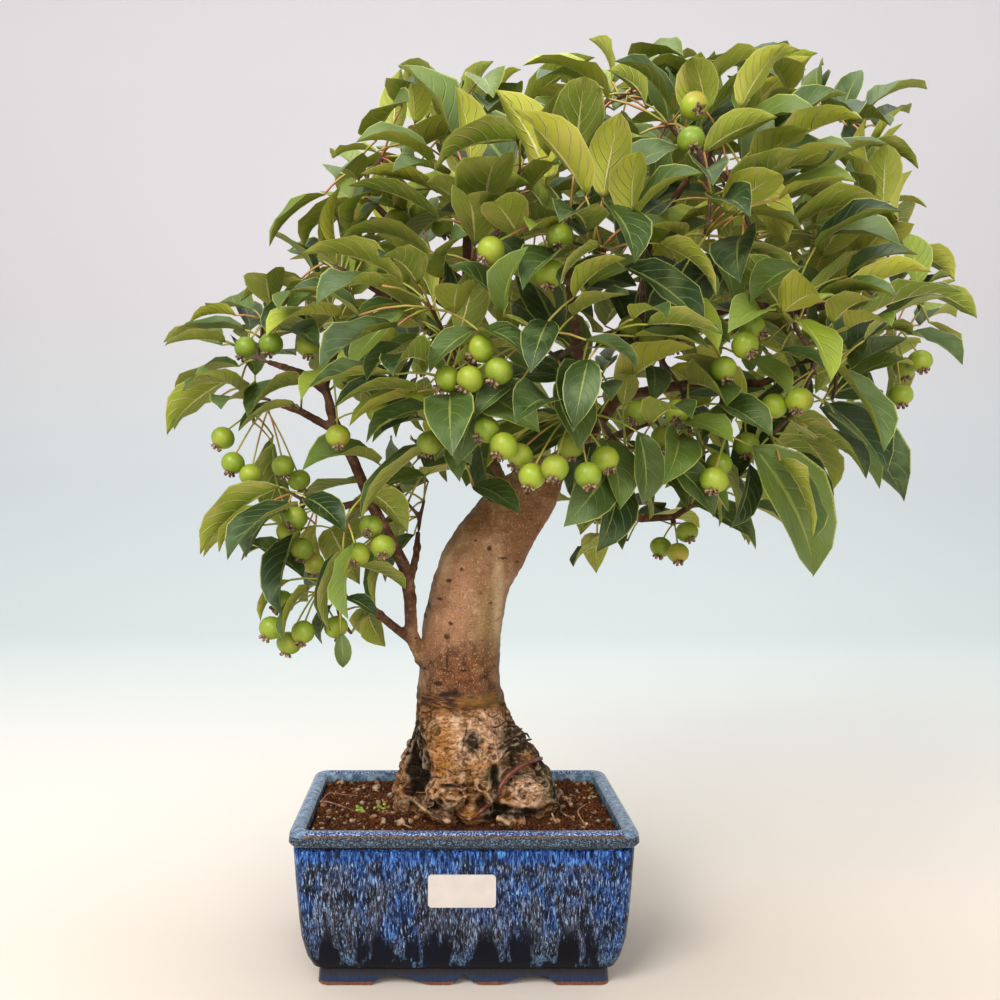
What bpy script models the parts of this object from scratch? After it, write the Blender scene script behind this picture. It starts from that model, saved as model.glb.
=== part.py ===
"""Crabapple bonsai in its glazed pot.

A rectangular pot on corner feet holds the soil, and the tree stands in a hole in the soil.
The tree's wood is one node, each leafy shoot is a node, and so is each bunch of fruits.
Metres, +Z up, and the front of the pot looks along -Y.
"""

import math
import random

import bmesh
import bpy
from mathutils import Vector
from mathutils.bvhtree import BVHTree

# Pot
RIM_WIDTH = 0.191
RIM_DEPTH = 0.130
POT_HEIGHT = 0.088
RIM_CORNER = 0.008
RIM_TOP = 0.0085
FLOOR_UNDER = 0.009
FLOOR_TOP = 0.016
FOOT_INSET = 0.0152
FOOT_WALL = 0.009
DRAIN_RADIUS = 0.008
DRAIN_SIDES = 12
DRAIN_OFFSET = 0.038
SCALLOP_RISE = 0.005
ARCH_FOOT = 0.0008
FRONT_SCALLOPS = [(-0.0333, 0.032), (0.0005, 0.016), (0.0338, 0.033)]
SIDE_SCALLOP = 0.046
ARCH_STEPS = 5
CORNER_STEPS = 3
# The pot's section as insets from the rim and heights: outside from the feet up to the rim's
# crest, then inside down to the floor
POT_OUTSIDE = [
    (FOOT_INSET + FOOT_WALL, FLOOR_UNDER), (FOOT_INSET + FOOT_WALL, 0.0), (FOOT_INSET, 0.0),
    (0.0158, 0.0098), (0.0130, 0.0122), (0.0102, 0.0185), (0.0078, 0.0290), (0.0065, 0.0400),
    (0.0034, 0.0768), (0.0046, 0.0780), (0.0050, 0.0812), (0.0014, 0.0821), (0.0000, 0.0838),
    (0.0004, 0.0864), (0.0020, 0.0877), (0.0042, POT_HEIGHT),
]
POT_INSIDE = [
    (RIM_TOP, 0.0862), (0.0092, 0.0740), (0.0125, 0.0280), (0.0165, 0.0190), (0.0215, FLOOR_TOP),
]
LABEL_FLAT = [POT_OUTSIDE[7], POT_OUTSIDE[8]]
# Label and drain screens
LABEL_WIDTH = 0.0368
LABEL_HEIGHT = 0.0184
LABEL_THICK = 0.0006
LABEL_CORNER = 0.002
LABEL_AT = (-0.0012, 0.0556)
SCREEN_SIDE = 0.026
SCREEN_THICK = 0.0010
SCREEN_HOLES = 2
SCREEN_ROOM = 0.0005
# Soil
SOIL_EDGE = 0.0825
SOIL_RISE = 0.0065
SOIL_DIPS = 0.0012
SOIL_RINGS = (1.0, 0.78, 0.5)
SOIL_ROOM = 0.00035
# Merging of flats after cuts and fusing: weld distance, and the angle that still counts as flat
WELD = 0.00001
FLAT_ANGLE = 0.002
# Room between pieces that touch
SEAT = 0.0003
ROOT_ROOM = 0.0004
# Leaves and fruits
LEAF_LENGTH = 0.052
LEAF_WIDTH = 0.52
LEAF_THICK = 0.0012
# Stations along the blade: part of its length and share of its half width
BLADE_STATIONS = [(0.30, 0.93), (0.66, 0.83)]
STALK_RADIUS = 0.0007
STALK_LENGTH = 0.019
FRUIT_RADIUS = 0.0066
# Rings of a fruit as parts and shares of its radius, with their sides
FRUIT_RINGS = [(-0.55, 0.86, 6), (0.38, 0.94, 6), (1.06, 0.30, 3)]
FRUIT_DIMPLE = 0.95
FRUIT_SAG = 0.6
FRUIT_LEAN = 0.006
PEDICEL_RADIUS = 0.0006
TWIG_RADIUS = 0.0017
TWIG_END = 0.0013
TWIG_STEPS = 16
# How a twig bows on its way: its knee, how far its bow leans back to the knee, and its sag
TWIG_KNEE = 0.35
TWIG_BOW = 0.45
TWIG_SAG = 0.10
# Length of the nodes that leaves sprout from, and the parts of a twig where they sit; longer
# twigs have one more
NODE_LENGTH = 0.0024
LONG_TWIG = 0.048
TWIG_NODE = [0.52]
TWIG_NODES = [0.40, 0.70]
KNOB_RADIUS = 0.0021
KNOB_FOOT = 0.0017
KNOB_WIDEST = 0.55
KNOB_LENGTH = 0.0040
KNOB_SIDES = 5
# How far a knob may be sunk to its seat, and in how many steps
KNOB_SINK = 0.0024
KNOB_STEPS = 12
# Least room kept between two growths, and the length near a root that may touch its own twig
GROWTH_ROOM = 0.0004
ROOT_SKIP = 0.0035
GOLDEN_TURN = math.radians(137.5)

# The photograph's viewpoint, worked out from the pot's rim: the eye, its focal length in
# pixels, and the pixel that it looks at
EYE = Vector((-0.012, -0.611, 0.270))
FOCAL_PX = 1017.0
SIGHT_PX = (442.0, 495.0)

# Trunk as seen: pixel across, pixel down, depth behind the pot's middle, radius
TRUNK_SEEN = [
    (470, 848, 0.004, 0.0330),
    (471, 820, 0.004, 0.0385),
    (471, 796, 0.003, 0.0395),
    (469, 776, 0.002, 0.0390),
    (467, 757, 0.001, 0.0368),
    (464, 735, 0.000, 0.0325),
    (461, 711, 0.000, 0.0278),
    (459, 687, 0.000, 0.0247),
    (459, 664, 0.000, 0.0241),
    (461, 641, 0.000, 0.0238),
    (464, 618, 0.000, 0.0234),
    (468, 595, 0.000, 0.0229),
    (476, 571, 0.000, 0.0224),
    (490, 545, 0.000, 0.0220),
    (509, 518, 0.000, 0.0208),
    (527, 496, 0.000, 0.0178),
    (542, 478, 0.000, 0.0135),
    (554, 464, 0.000, 0.0085),
]
# Surface roots and swellings at the trunk's foot
ROOTS_SEEN = {
    "left_root": [(438, 732, -0.002, 0.011), (420, 764, -0.004, 0.0125), (411, 792, -0.006, 0.012),
                  (408, 824, -0.008, 0.009)],
    "front_swell": [(462, 722, -0.008, 0.014), (455, 752, -0.018, 0.018), (451, 782, -0.024, 0.0175),
                    (450, 806, -0.024, 0.015), (450, 830, -0.022, 0.011)],
    "right_root": [(497, 742, -0.004, 0.015), (517, 768, -0.008, 0.017), (529, 794, -0.012, 0.0175),
                   (533, 822, -0.012, 0.014), (534, 842, -0.012, 0.009)],
    "back_root": [(480, 742, 0.008, 0.014), (488, 770, 0.022, 0.014), (494, 800, 0.032, 0.012),
                  (498, 832, 0.036, 0.009)],
}
# Limbs: the limb each grows from, then its route like the trunk's
LIMBS_SEEN = {
    "leader": [(540, 480, 0.000, 0.0100), (566, 454, 0.000, 0.0068), (590, 433, 0.000, 0.0048),
               (618, 395, 0.006, 0.0042), (638, 345, 0.010, 0.0038), (645, 290, 0.010, 0.0034),
               (640, 235, 0.008, 0.0029), (628, 180, 0.004, 0.0024), (612, 130, 0.000, 0.0019)],
    "crown_left": [(508, 508, 0.004, 0.0075), (491, 462, 0.014, 0.0050), (478, 410, 0.018, 0.0043),
                   (469, 350, 0.016, 0.0037), (467, 290, 0.010, 0.0033), (467, 230, 0.004, 0.0028),
                   (469, 180, 0.000, 0.0023), (476, 135, 0.000, 0.0018)],
    "right_high": [(637, 348, 0.010, 0.0034), (690, 320, -0.004, 0.0031), (745, 304, -0.014, 0.0028),
                   (800, 312, -0.018, 0.0025), (850, 298, -0.015, 0.0021), (886, 262, -0.010, 0.0017)],
    "right_mid": [(617, 397, 0.006, 0.0034), (664, 388, -0.030, 0.0030), (715, 380, -0.052, 0.0026),
                  (760, 384, -0.066, 0.0022), (796, 368, -0.074, 0.0018)],
    "right_low": [(556, 470, 0.004, 0.0055), (598, 487, 0.022, 0.0030), (641, 519, 0.034, 0.0026),
                  (674, 517, 0.042, 0.0022), (700, 500, 0.048, 0.0017)],
    "top_right": [(645, 292, 0.010, 0.0029), (688, 250, 0.018, 0.0026), (733, 205, 0.018, 0.0024),
                  (775, 160, 0.012, 0.0021), (812, 122, 0.006, 0.0017)],
    "right_back": [(638, 342, 0.010, 0.0030), (682, 334, 0.052, 0.0027), (742, 318, 0.088, 0.0023),
                   (800, 296, 0.108, 0.0018)],
    "low_back": [(549, 474, 0.006, 0.0055), (592, 448, 0.046, 0.0033), (642, 424, 0.082, 0.0027),
                 (702, 412, 0.106, 0.0019)],
    "top_back": [(642, 246, 0.009, 0.0028), (642, 228, 0.044, 0.0025), (652, 214, 0.078, 0.0022),
                 (664, 202, 0.104, 0.0018)],
    "left_back": [(478, 412, 0.018, 0.0032), (459, 374, 0.052, 0.0029), (432, 334, 0.084, 0.0024),
                  (404, 306, 0.106, 0.0018)],
    "crown_back": [(467, 292, 0.010, 0.0028), (482, 272, 0.044, 0.0025), (504, 250, 0.078, 0.0022),
                   (524, 232, 0.102, 0.0018)],
    "front_high": [(645, 294, 0.010, 0.0029), (644, 262, -0.030, 0.0026), (660, 222, -0.066, 0.0022),
                   (688, 178, -0.090, 0.0018)],
    "front_mid": [(588, 435, 0.000, 0.0036), (584, 398, -0.036, 0.0031), (578, 352, -0.068, 0.0027),
                  (572, 308, -0.092, 0.0023), (567, 266, -0.108, 0.0018)],
    "front_left": [(479, 414, 0.018, 0.0032), (472, 384, -0.022, 0.0029), (466, 344, -0.054, 0.0025),
                   (470, 300, -0.080, 0.0018)],
    "left_high": [(467, 288, 0.010, 0.0028), (432, 256, -0.008, 0.0025), (396, 226, -0.018, 0.0021),
                  (366, 196, -0.024, 0.0017)],
    "left_mid": [(469, 352, 0.016, 0.0030), (430, 326, -0.004, 0.0027), (388, 298, -0.018, 0.0023),
                 (350, 272, -0.026, 0.0018)],
    "low_branch": [(436, 672, 0.000, 0.0058), (421, 659, -0.004, 0.0050), (411, 632, -0.012, 0.0042),
                   (410, 598, -0.018, 0.0040), (404, 566, -0.022, 0.0038), (388, 536, -0.026, 0.0036),
                   (369, 499, -0.028, 0.0034), (354, 462, -0.030, 0.0032), (334, 421, -0.030, 0.0029),
                   (325, 386, -0.028, 0.0024), (336, 350, -0.026, 0.0018)],
    "fork_left": [(331, 428, -0.030, 0.0026), (300, 411, -0.026, 0.0022), (272, 402, -0.020, 0.0017)],
    "fork_high": [(326, 392, -0.028, 0.0025), (302, 373, -0.024, 0.0022), (268, 362, -0.018, 0.0017)],
    "fork_low": [(411, 640, -0.010, 0.0030), (393, 626, -0.022, 0.0026), (374, 610, -0.030, 0.0023),
                 (352, 597, -0.036, 0.0018)],
    "fork_side": [(367, 501, -0.028, 0.0026), (344, 506, -0.034, 0.0022), (320, 503, -0.038, 0.0017)],
    "stub_side": [(410, 580, -0.021, 0.0026), (416, 556, -0.006, 0.0022), (418, 532, 0.006, 0.0017)],
}
# Leafy shoots: the limb, the part of its length where the shoot leaves it, then the tips of
# its twigs as seen; the first twig sits on the limb and the others fork from the first
SHOOTS_SEEN = [
    ("crown_left", 1.00, [(462, 96, -0.010), (505, 98, 0.012), (412, 144, -0.020)]),
    ("leader", 1.00, [(585, 88, 0.000), (632, 92, -0.028)]),
    ("top_right", 0.55, [(742, 96, 0.030), (690, 100, 0.046)]),
    ("top_right", 1.00, [(826, 92, 0.000), (864, 128, 0.022)]),
    ("right_high", 1.00, [(884, 205, 0.000), (858, 178, 0.034)]),
    ("right_high", 0.86, [(920, 300, -0.012), (908, 330, 0.020)]),
    ("right_mid", 1.00, [(822, 342, -0.104), (790, 300, -0.112), (768, 438, -0.082), (832, 400, -0.050)]),
    ("right_low", 1.00, [(722, 488, 0.040), (704, 452, 0.020)]),
    ("right_low", 0.42, [(596, 520, 0.020), (628, 540, 0.060)]),
    ("front_high", 1.00, [(722, 136, -0.112), (668, 124, -0.100), (706, 236, -0.120), (756, 240, -0.096)]),
    ("front_mid", 1.00, [(570, 214, -0.124), (606, 250, -0.140)]),
    ("front_mid", 0.66, [(538, 330, -0.126), (616, 330, -0.132)]),
    ("front_mid", 0.26, [(640, 448, -0.090), (566, 408, -0.104)]),
    ("right_mid", 0.36, [(700, 318, -0.092), (690, 432, -0.084)]),
    ("front_left", 1.00, [(474, 196, -0.098), (520, 168, -0.104)]),
    ("front_left", 0.55, [(442, 376, -0.100), (430, 306, -0.104), (464, 462, -0.060)]),
    ("left_high", 1.00, [(382, 156, -0.020), (346, 172, -0.030)]),
    ("left_mid", 1.00, [(322, 262, -0.030), (300, 288, -0.020), (372, 352, -0.052)]),
    ("fork_high", 1.00, [(244, 352, -0.012), (262, 318, -0.020)]),
    ("low_branch", 1.00, [(330, 306, -0.020)]),
    ("fork_left", 1.00, [(238, 386, -0.010), (254, 424, -0.026)]),
    ("fork_side", 1.00, [(290, 492, -0.044), (300, 530, -0.030), (346, 520, -0.066)]),
    ("fork_low", 1.00, [(318, 586, -0.044), (352, 634, -0.036), (336, 568, -0.064)]),
    ("stub_side", 1.00, [(424, 500, 0.018), (398, 486, -0.010)]),
    ("top_back", 1.00, [(696, 176, 0.130), (622, 180, 0.126)]),
    ("crown_back", 1.00, [(552, 196, 0.130), (482, 208, 0.124)]),
    ("left_back", 1.00, [(376, 270, 0.124), (416, 360, 0.130)]),
    ("right_back", 1.00, [(828, 274, 0.116), (786, 238, 0.126)]),
    ("low_back", 1.00, [(748, 400, 0.124), (690, 340, 0.140)]),
    ("low_back", 0.50, [(600, 380, 0.130), (560, 430, 0.110)]),
]
# Fruit bunches: where the umbel sits, the depth of its fruits, and the fruits as seen
BUNCHES_SEEN = [
    ((408, 176, -0.030), -0.040, [(355, 213), (396, 221), (420, 211), (442, 226)]),
    ((404, 226, -0.020), -0.048, [(388, 252), (399, 276), (428, 317), (388, 338)]),
    ((548, 200, -0.124), -0.140, [(491, 250), (560, 237), (550, 274)]),
    ((292, 312, -0.020), -0.040, [(246, 348), (271, 344), (308, 346)]),
    ((336, 372, -0.028), -0.056, [(345, 378), (338, 436), (378, 411)]),
    ((270, 402, -0.020), -0.034, [(223, 438), (233, 463), (251, 475), (283, 466), (299, 480)]),
    ((316, 503, -0.038), -0.044, [(296, 518), (288, 532), (302, 549), (313, 563)]),
    ((390, 524, -0.026), -0.052, [(371, 527), (383, 547), (358, 554), (385, 585)]),
    ((316, 580, -0.044), -0.050, [(283, 602), (271, 628), (289, 643), (303, 632), (336, 627)]),
    ((450, 366, -0.070), -0.078, [(418, 401), (443, 423), (429, 443), (439, 460)]),
    ((490, 316, -0.110), -0.128, [(481, 349), (499, 371), (448, 379), (470, 379)]),
    ((528, 398, -0.104), -0.122, [(487, 430), (504, 446), (520, 456), (532, 476)]),
    ((570, 410, -0.104), -0.124, [(555, 468), (588, 475), (605, 459), (571, 446)]),
    ((668, 386, -0.080), -0.094, [(638, 413), (677, 412), (664, 437), (697, 429)]),
    ((730, 400, -0.076), -0.092, [(719, 464), (714, 480), (746, 444), (763, 431), (753, 459)]),
    ((668, 514, 0.044), 0.030, [(661, 547), (678, 553), (687, 532), (601, 515)]),
    ((742, 306, -0.100), -0.112, [(723, 369), (745, 345), (752, 328)]),
    ((792, 366, -0.090), -0.100, [(774, 406), (799, 400), (808, 415)]),
    ((906, 330, -0.010), -0.016, [(904, 368), (920, 361), (901, 395)]),
    ((646, 276, -0.034), -0.060, [(631, 327), (652, 339), (674, 340)]),
    ((700, 100, -0.090), -0.130, [(694, 106), (691, 140), (704, 163)]),
    ((560, 214, 0.128), 0.134, [(545, 250), (572, 244), (588, 266)]),
    ((408, 320, 0.124), 0.134, [(392, 352), (420, 366), (372, 340)]),
    ((810, 280, 0.124), 0.132, [(790, 316), (812, 322), (832, 310)]),
]
# Leaves that stand out in the photograph: blade's base and tip as seen, each with its depth,
# and how far the upper side looks to the viewer (below nought it shows its underside)
LEAVES_SEEN = [
    (245, 330, -0.020, 163, 343, -0.020, 0.3), (235, 355, -0.010, 173, 393, 0.000, 0.3),
    (232, 378, -0.020, 164, 434, -0.030, -0.5), (344, 250, -0.030, 268, 246, -0.030, 0.3),
    (345, 284, -0.050, 284, 318, -0.060, 0.4), (376, 152, -0.020, 332, 156, -0.010, 0.3),
    (280, 487, -0.050, 199, 554, -0.050, -0.3), (300, 502, -0.040, 242, 542, -0.030, 0.3),
    (306, 498, -0.040, 346, 532, -0.060, 0.6), (268, 551, -0.030, 240, 560, -0.020, 0.5),
    (290, 580, -0.050, 258, 620, -0.050, -0.2), (330, 602, -0.040, 320, 645, -0.050, 0.5),
    (365, 640, -0.040, 343, 668, -0.040, 0.3), (346, 598, -0.050, 378, 618, -0.060, 0.4),
    (346, 356, -0.050, 378, 400, -0.060, 0.6), (372, 366, -0.070, 436, 342, -0.080, 0.5),
    (452, 110, 0.000, 401, 60, 0.010, 0.1), (468, 108, 0.010, 492, 60, 0.020, -0.4),
    (502, 104, 0.010, 520, 68, 0.010, -0.3), (575, 92, 0.000, 590, 38, 0.010, -0.4),
    (560, 98, -0.040, 520, 120, -0.060, 0.4), (520, 140, -0.080, 430, 168, -0.100, -0.3),
    (474, 206, -0.110, 532, 182, -0.130, -0.4), (610, 146, -0.060, 608, 70, -0.060, -0.6),
    (650, 92, 0.000, 698, 52, 0.010, 0.2), (742, 82, 0.020, 790, 42, 0.030, 0.3),
    (800, 128, 0.000, 812, 56, 0.000, -0.6), (840, 122, 0.010, 862, 68, 0.010, 0.4),
    (868, 108, 0.020, 928, 86, 0.030, 0.3), (838, 140, 0.010, 902, 122, 0.010, 0.2),
    (880, 200, 0.000, 912, 170, 0.010, -0.4), (884, 214, -0.010, 928, 206, -0.010, 0.2),
    (862, 255, -0.010, 906, 230, 0.000, 0.3), (926, 290, -0.020, 978, 318, -0.030, -0.5),
    (905, 315, -0.020, 963, 365, -0.020, 0.4), (820, 408, -0.050, 905, 502, -0.040, 0.8),
    (752, 446, -0.090, 816, 578, -0.070, 0.8), (692, 504, 0.030, 760, 548, 0.030, 0.6),
    (575, 512, 0.010, 572, 566, 0.010, -0.5), (606, 515, 0.040, 596, 572, 0.040, -0.7),
    (638, 432, -0.110, 644, 506, -0.100, 0.5), (425, 476, -0.010, 363, 500, -0.010, 0.5),
    (474, 486, -0.060, 521, 514, -0.080, 0.7), (482, 388, -0.090, 448, 474, -0.100, 0.7),
    (500, 310, -0.130, 524, 352, -0.150, 0.5), (548, 322, -0.140, 530, 372, -0.160, 0.6),
    (588, 360, -0.140, 574, 428, -0.150, 0.7), (586, 340, -0.140, 640, 368, -0.150, 0.4),
    (600, 246, -0.150, 558, 286, -0.160, -0.2), (604, 206, -0.140, 636, 262, -0.170, -0.3),
    (476, 330, -0.120, 428, 372, -0.130, 0.5), (520, 382, -0.120, 474, 418, -0.130, 0.5),
    (704, 152, -0.120, 778, 116, -0.130, -0.5), (660, 244, -0.130, 720, 296, -0.150, -0.3),
    (700, 204, -0.130, 740, 282, -0.150, -0.5), (724, 196, -0.110, 788, 244, -0.110, -0.4),
    (742, 246, -0.110, 796, 294, -0.110, -0.2), (668, 300, -0.110, 720, 350, -0.130, 0.5),
    (780, 352, -0.110, 826, 368, -0.120, 0.6), (750, 360, -0.090, 792, 396, -0.110, 0.6),
    (800, 268, -0.100, 750, 300, -0.120, 0.5), (666, 204, -0.100, 620, 250, -0.130, 0.4),
    (380, 366, -0.050, 350, 340, -0.050, 0.3), (398, 208, -0.050, 340, 186, -0.050, 0.3),
]
# Outline of the crown as seen; leaves placed by rule keep inside it
CROWN_SEEN = [
    (162, 340), (212, 300), (262, 296), (268, 232), (330, 232), (326, 150), (392, 118), (398, 56),
    (455, 70), (492, 56), (560, 66), (590, 34), (640, 62), (700, 44), (745, 56), (790, 38),
    (850, 62), (928, 82), (904, 124), (932, 206), (908, 240), (980, 284), (976, 330), (966, 366),
    (926, 352), (906, 400), (870, 410), (908, 502), (846, 462), (820, 578), (772, 492), (760, 550),
    (700, 530), (684, 580), (640, 545), (598, 576), (566, 574), (556, 500), (520, 518), (452, 500),
    (440, 560), (408, 600), (392, 650), (345, 670), (330, 652), (262, 660), (256, 620), (276, 565),
    (240, 562), (198, 556), (214, 500), (262, 484), (206, 470), (208, 430), (164, 436), (172, 388),
]
# Sides of the round pieces
TRUNK_SIDES = 12
ROOT_SIDES = 8
LIMB_SIDES = 5
TWIG_SIDES = 3
# How the rule places leaves
SEED = 11
DEPTH_NUDGES = (0.0, -0.008, 0.008, -0.016, 0.016, -0.026, 0.026, -0.038, 0.038)
LEAF_TRIES = 40
TWIG_TRIES = 60
# How much further each next try of a twig may stray, and of a knob along and round its limb
TWIG_STRAY = 0.0007
KNOB_SLIDE = 0.01
KNOB_STRAY = 0.001
# Ends of a limb that knobs keep off
KNOB_ENDS = (0.04, 0.96)
# How much a side twig first leans to its tip
FORK_LEAN = 0.6
# Least cosine between a stalk and its socket's outward direction
LEAST_LOOK = 0.35
LEAST_BEND = 0.05
# Seen leaves: sockets tried for each, the fold and arch of their blades, how far a blade's base
# may be from its socket, and the stalks' range
SEEN_TRIES = 5
SEEN_FOLD = 0.45
SEEN_ARCH = 0.09
SEEN_REACH = 0.050
SHORT_STALK = 0.007
LONG_STALK = 0.038
# Leaves placed by rule: how much smaller the last try is, the spread of their stalks, blades,
# folds and arches, and how much those at the crown's foot hang
LEAF_SHRINK = 0.35
STALK_SPREAD = (0.7, 1.25)
BLADE_SPREAD = (0.72, 1.12)
FOLD_SPREAD = (0.35, 0.62)
ARCH_SPREAD = (0.05, 0.12)
LEAF_DROOP = 0.55
CROWN_FOOT = 0.27
CROWN_HEIGHT = 0.27
CROWN_MIDDLE = Vector((0.065, 0.0, 0.36))
# The crown's dome: half width, half depth, and how high it stands over its widest level
DOME_WIDTH = 0.275
DOME_DEPTH = 0.178
DOME_RISE = 0.225
DOME_LEVEL = 0.33


def seen(across, down, depth):
    """Point that the photograph shows at a pixel, at a depth behind the pot's middle."""
    reach = depth - EYE.y
    return Vector((EYE.x + (across - SIGHT_PX[0]) * reach / FOCAL_PX, depth,
                   EYE.z + (SIGHT_PX[1] - down) * reach / FOCAL_PX))


def stitch(faces, low, high):
    """Triangles between two rings of any counts; a ring of one point is a tip."""
    i = len(low) if len(low) == 1 else 0
    j = len(high) if len(high) == 1 else 0
    while i < len(low) or j < len(high):
        if j == len(high) or (i < len(low) and (i + 0.5) / len(low) <= (j + 0.5) / len(high)):
            faces.append((low[i % len(low)], low[(i + 1) % len(low)], high[j % len(high)]))
            i += 1
        else:
            faces.append((low[i % len(low)], high[(j + 1) % len(high)], high[j % len(high)]))
            j += 1


def tube_skin(rings, low=0, root=None):
    """Indices and faces over rings, each anticlockwise about the way they run, with flat ends.

    With a root, the skin starts from the root's indices instead of from an end of its own.
    """
    index = []
    for ring in rings:
        index.append(list(range(low, low + len(ring))))
        low += len(ring)
    faces = []
    if root:
        stitch(faces, root, index[0])
    else:
        faces += [(index[0][0], index[0][k + 1], index[0][k]) for k in range(1, len(index[0]) - 1)]
    for before, after in zip(index, index[1:]):
        stitch(faces, before, after)
    faces += [(index[-1][0], index[-1][k], index[-1][k + 1]) for k in range(1, len(index[-1]) - 1)]
    return index, faces


def loft(rings):
    """Closed solid through rings of points."""
    return [point for ring in rings for point in ring], tube_skin(rings)[1]


def ring_at(middle, ahead, side, radius, sides):
    """Ring of points square to the way ahead, its first point towards the side."""
    left = (side - ahead * side.dot(ahead)).normalized()
    up = ahead.cross(left)
    turns = [2.0 * math.pi * k / sides for k in range(sides)]
    return [middle + left * radius * math.cos(a) + up * radius * math.sin(a) for a in turns]


def tube(route, radii, sides, swell=0.0):
    """Closed tube along a route, with a radius at each of its points."""
    rings = []
    side = Vector((1.0, 0.0, 0.0))
    if abs((route[1] - route[0]).normalized().x) > 0.9:
        side = Vector((0.0, 1.0, 0.0))
    for k, point in enumerate(route):
        before = route[max(k - 1, 0)]
        after = route[min(k + 1, len(route) - 1)]
        ahead = (after - before).normalized()
        side = (side - ahead * side.dot(ahead)).normalized()
        rings.append(ring_at(point, ahead, side, radii[k] + swell, sides))
    return loft(rings)


def bend(start, first, second, end, steps):
    """Points along a cubic curve."""
    points = []
    for k in range(steps + 1):
        t = k / steps
        s = 1.0 - t
        points.append(start * s ** 3 + first * 3 * s * s * t + second * 3 * s * t * t + end * t ** 3)
    return points


def along(route, part):
    """Point and direction at a part of a route's length."""
    lengths = [(b - a).length for a, b in zip(route, route[1:])]
    left = part * sum(lengths)
    for (a, b), length in zip(zip(route, route[1:]), lengths):
        if left <= length or b is route[-1]:
            return a.lerp(b, min(left / length, 1.0)), (b - a).normalized()
        left -= length


def nearest(route, point):
    """Part of a route's length that lies nearest to a point."""
    parts = [k / 60 for k in range(61)]
    return min(parts, key=lambda part: (along(route, part)[0] - point).length)


class Leaf:
    """One leaf: the triangle of the twig that its stalk leaves, its blade's base and tip."""

    def __init__(self, socket, base, tip, up, fold, arch, width=LEAF_WIDTH):
        self.socket = socket
        self.base = base
        self.tip = tip
        ahead = (tip - base).normalized()
        self.left = up.cross(ahead).normalized()
        self.up = ahead.cross(self.left)
        self.length = (tip - base).length
        self.half = 0.5 * width * self.length
        self.fold = fold
        self.arch = arch

    def midrib(self, part):
        """Point on the midrib and the way it runs there."""
        knee = self.base.lerp(self.tip, 0.5) + self.up * self.arch * self.length * 2.0
        s = 1.0 - part
        point = self.base * s * s + knee * 2 * s * part + self.tip * part * part
        ahead = (knee - self.base) * s + (self.tip - knee) * part
        return point, ahead.normalized()

    def station(self, part, half, thick):
        """Four points round the blade: left margin, upper rib, right margin, lower rib."""
        middle, ahead = self.midrib(part)
        up = ahead.cross(self.left)
        lift = up * half * math.sin(self.fold)
        out = self.left * half * math.cos(self.fold)
        return [middle + out + lift, middle + up * thick / 2, middle - out + lift, middle - up * thick / 2]

    def rings(self, swell=0.0):
        """Rings of the leaf past its socket: the stalk's end, then the blade."""
        ahead = (self.base - self.socket.middle).normalized()
        left = (self.left - ahead * self.left.dot(ahead)).normalized()
        up = ahead.cross(left)
        radius = STALK_RADIUS + swell
        top = self.base + up * radius * 0.4
        rings = [[top + left * radius, top - left * radius, self.base - up * radius * 0.8]]
        for part, share in BLADE_STATIONS:
            rings.append(self.station(part, self.half * share + swell, LEAF_THICK + 2.0 * swell))
        rings.append([self.tip + (self.tip - self.base).normalized() * swell])
        return rings

    def skin(self, root, low):
        """Faces of the leaf from its root triangle's indices, its own points starting at low."""
        faces = []
        stitch(faces, root, [low, low + 1, low + 2])
        one, two, three, left, top, right, under = range(low, low + 7)
        faces += [(one, two, top), (one, top, left), (two, right, top), (one, left, under),
                  (one, under, three), (two, three, under), (two, under, right)]
        for first in range(low + 3, low + 4 * len(BLADE_STATIONS) - 1, 4):
            left, top, right, under, left2, top2, right2, under2 = range(first, first + 8)
            faces += [(left, top, top2), (left, top2, left2), (top, right, top2), (right, right2, top2),
                      (right, under, under2), (right, under2, right2),
                      (under, left, under2), (left, left2, under2)]
        last = low + 3 + 4 * len(BLADE_STATIONS)
        stitch(faces, [last - 4, last - 3, last - 2, last - 1], [last])
        return faces


class Fruit:
    """One fruit: the triangle of the knob that its stalk leaves, its middle and its size."""

    def __init__(self, socket, middle, radius):
        self.socket = socket
        self.middle = middle
        self.radius = radius
        sag = Vector((0.0, 0.0, -FRUIT_SAG))
        self.axis = ((middle - socket.middle).normalized() + sag).normalized()
        self.top = middle - self.axis * radius * FRUIT_DIMPLE

    def rings(self, swell=0.0):
        """Rings of the fruit past its socket: the stalk's end, then the fruit."""
        side = self.socket.points[0] - self.socket.middle
        radius = self.radius + swell
        rings = [ring_at(self.top, self.axis, side, PEDICEL_RADIUS + swell, 3)]
        for part, share, sides in FRUIT_RINGS:
            middle = self.middle + self.axis * radius * part
            rings.append(ring_at(middle, self.axis, side, radius * share, sides))
        return rings

    def skin(self, root, low):
        """Faces of the fruit from its root triangle's indices, its own points starting at low."""
        faces = []
        before = root
        for count in [3] + [sides for part, share, sides in FRUIT_RINGS]:
            ring = list(range(low, low + count))
            stitch(faces, before, ring)
            before = ring
            low += count
        faces.append(tuple(before))
        return faces


class Socket:
    """A face of a growing body that something can sprout from."""

    def __init__(self, corners, points):
        self.corners = corners
        self.points = points
        self.middle = sum(points, Vector()) / len(points)
        self.normal = (points[1] - points[0]).cross(points[2] - points[0]).normalized()
        self.free = True

    def turned(self, ring):
        """The socket's points and corners, turned to lie nearest to a ring of as many points."""
        count = len(ring)
        middle = sum(ring, Vector()) / count
        best = min(range(count), key=lambda turn: sum(
            (self.points[(k + turn) % count] - self.middle - ring[k] + middle).length for k in range(count)))
        order = [(k + best) % count for k in range(count)]
        return [self.points[k] for k in order], [self.corners[k] for k in order]


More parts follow.
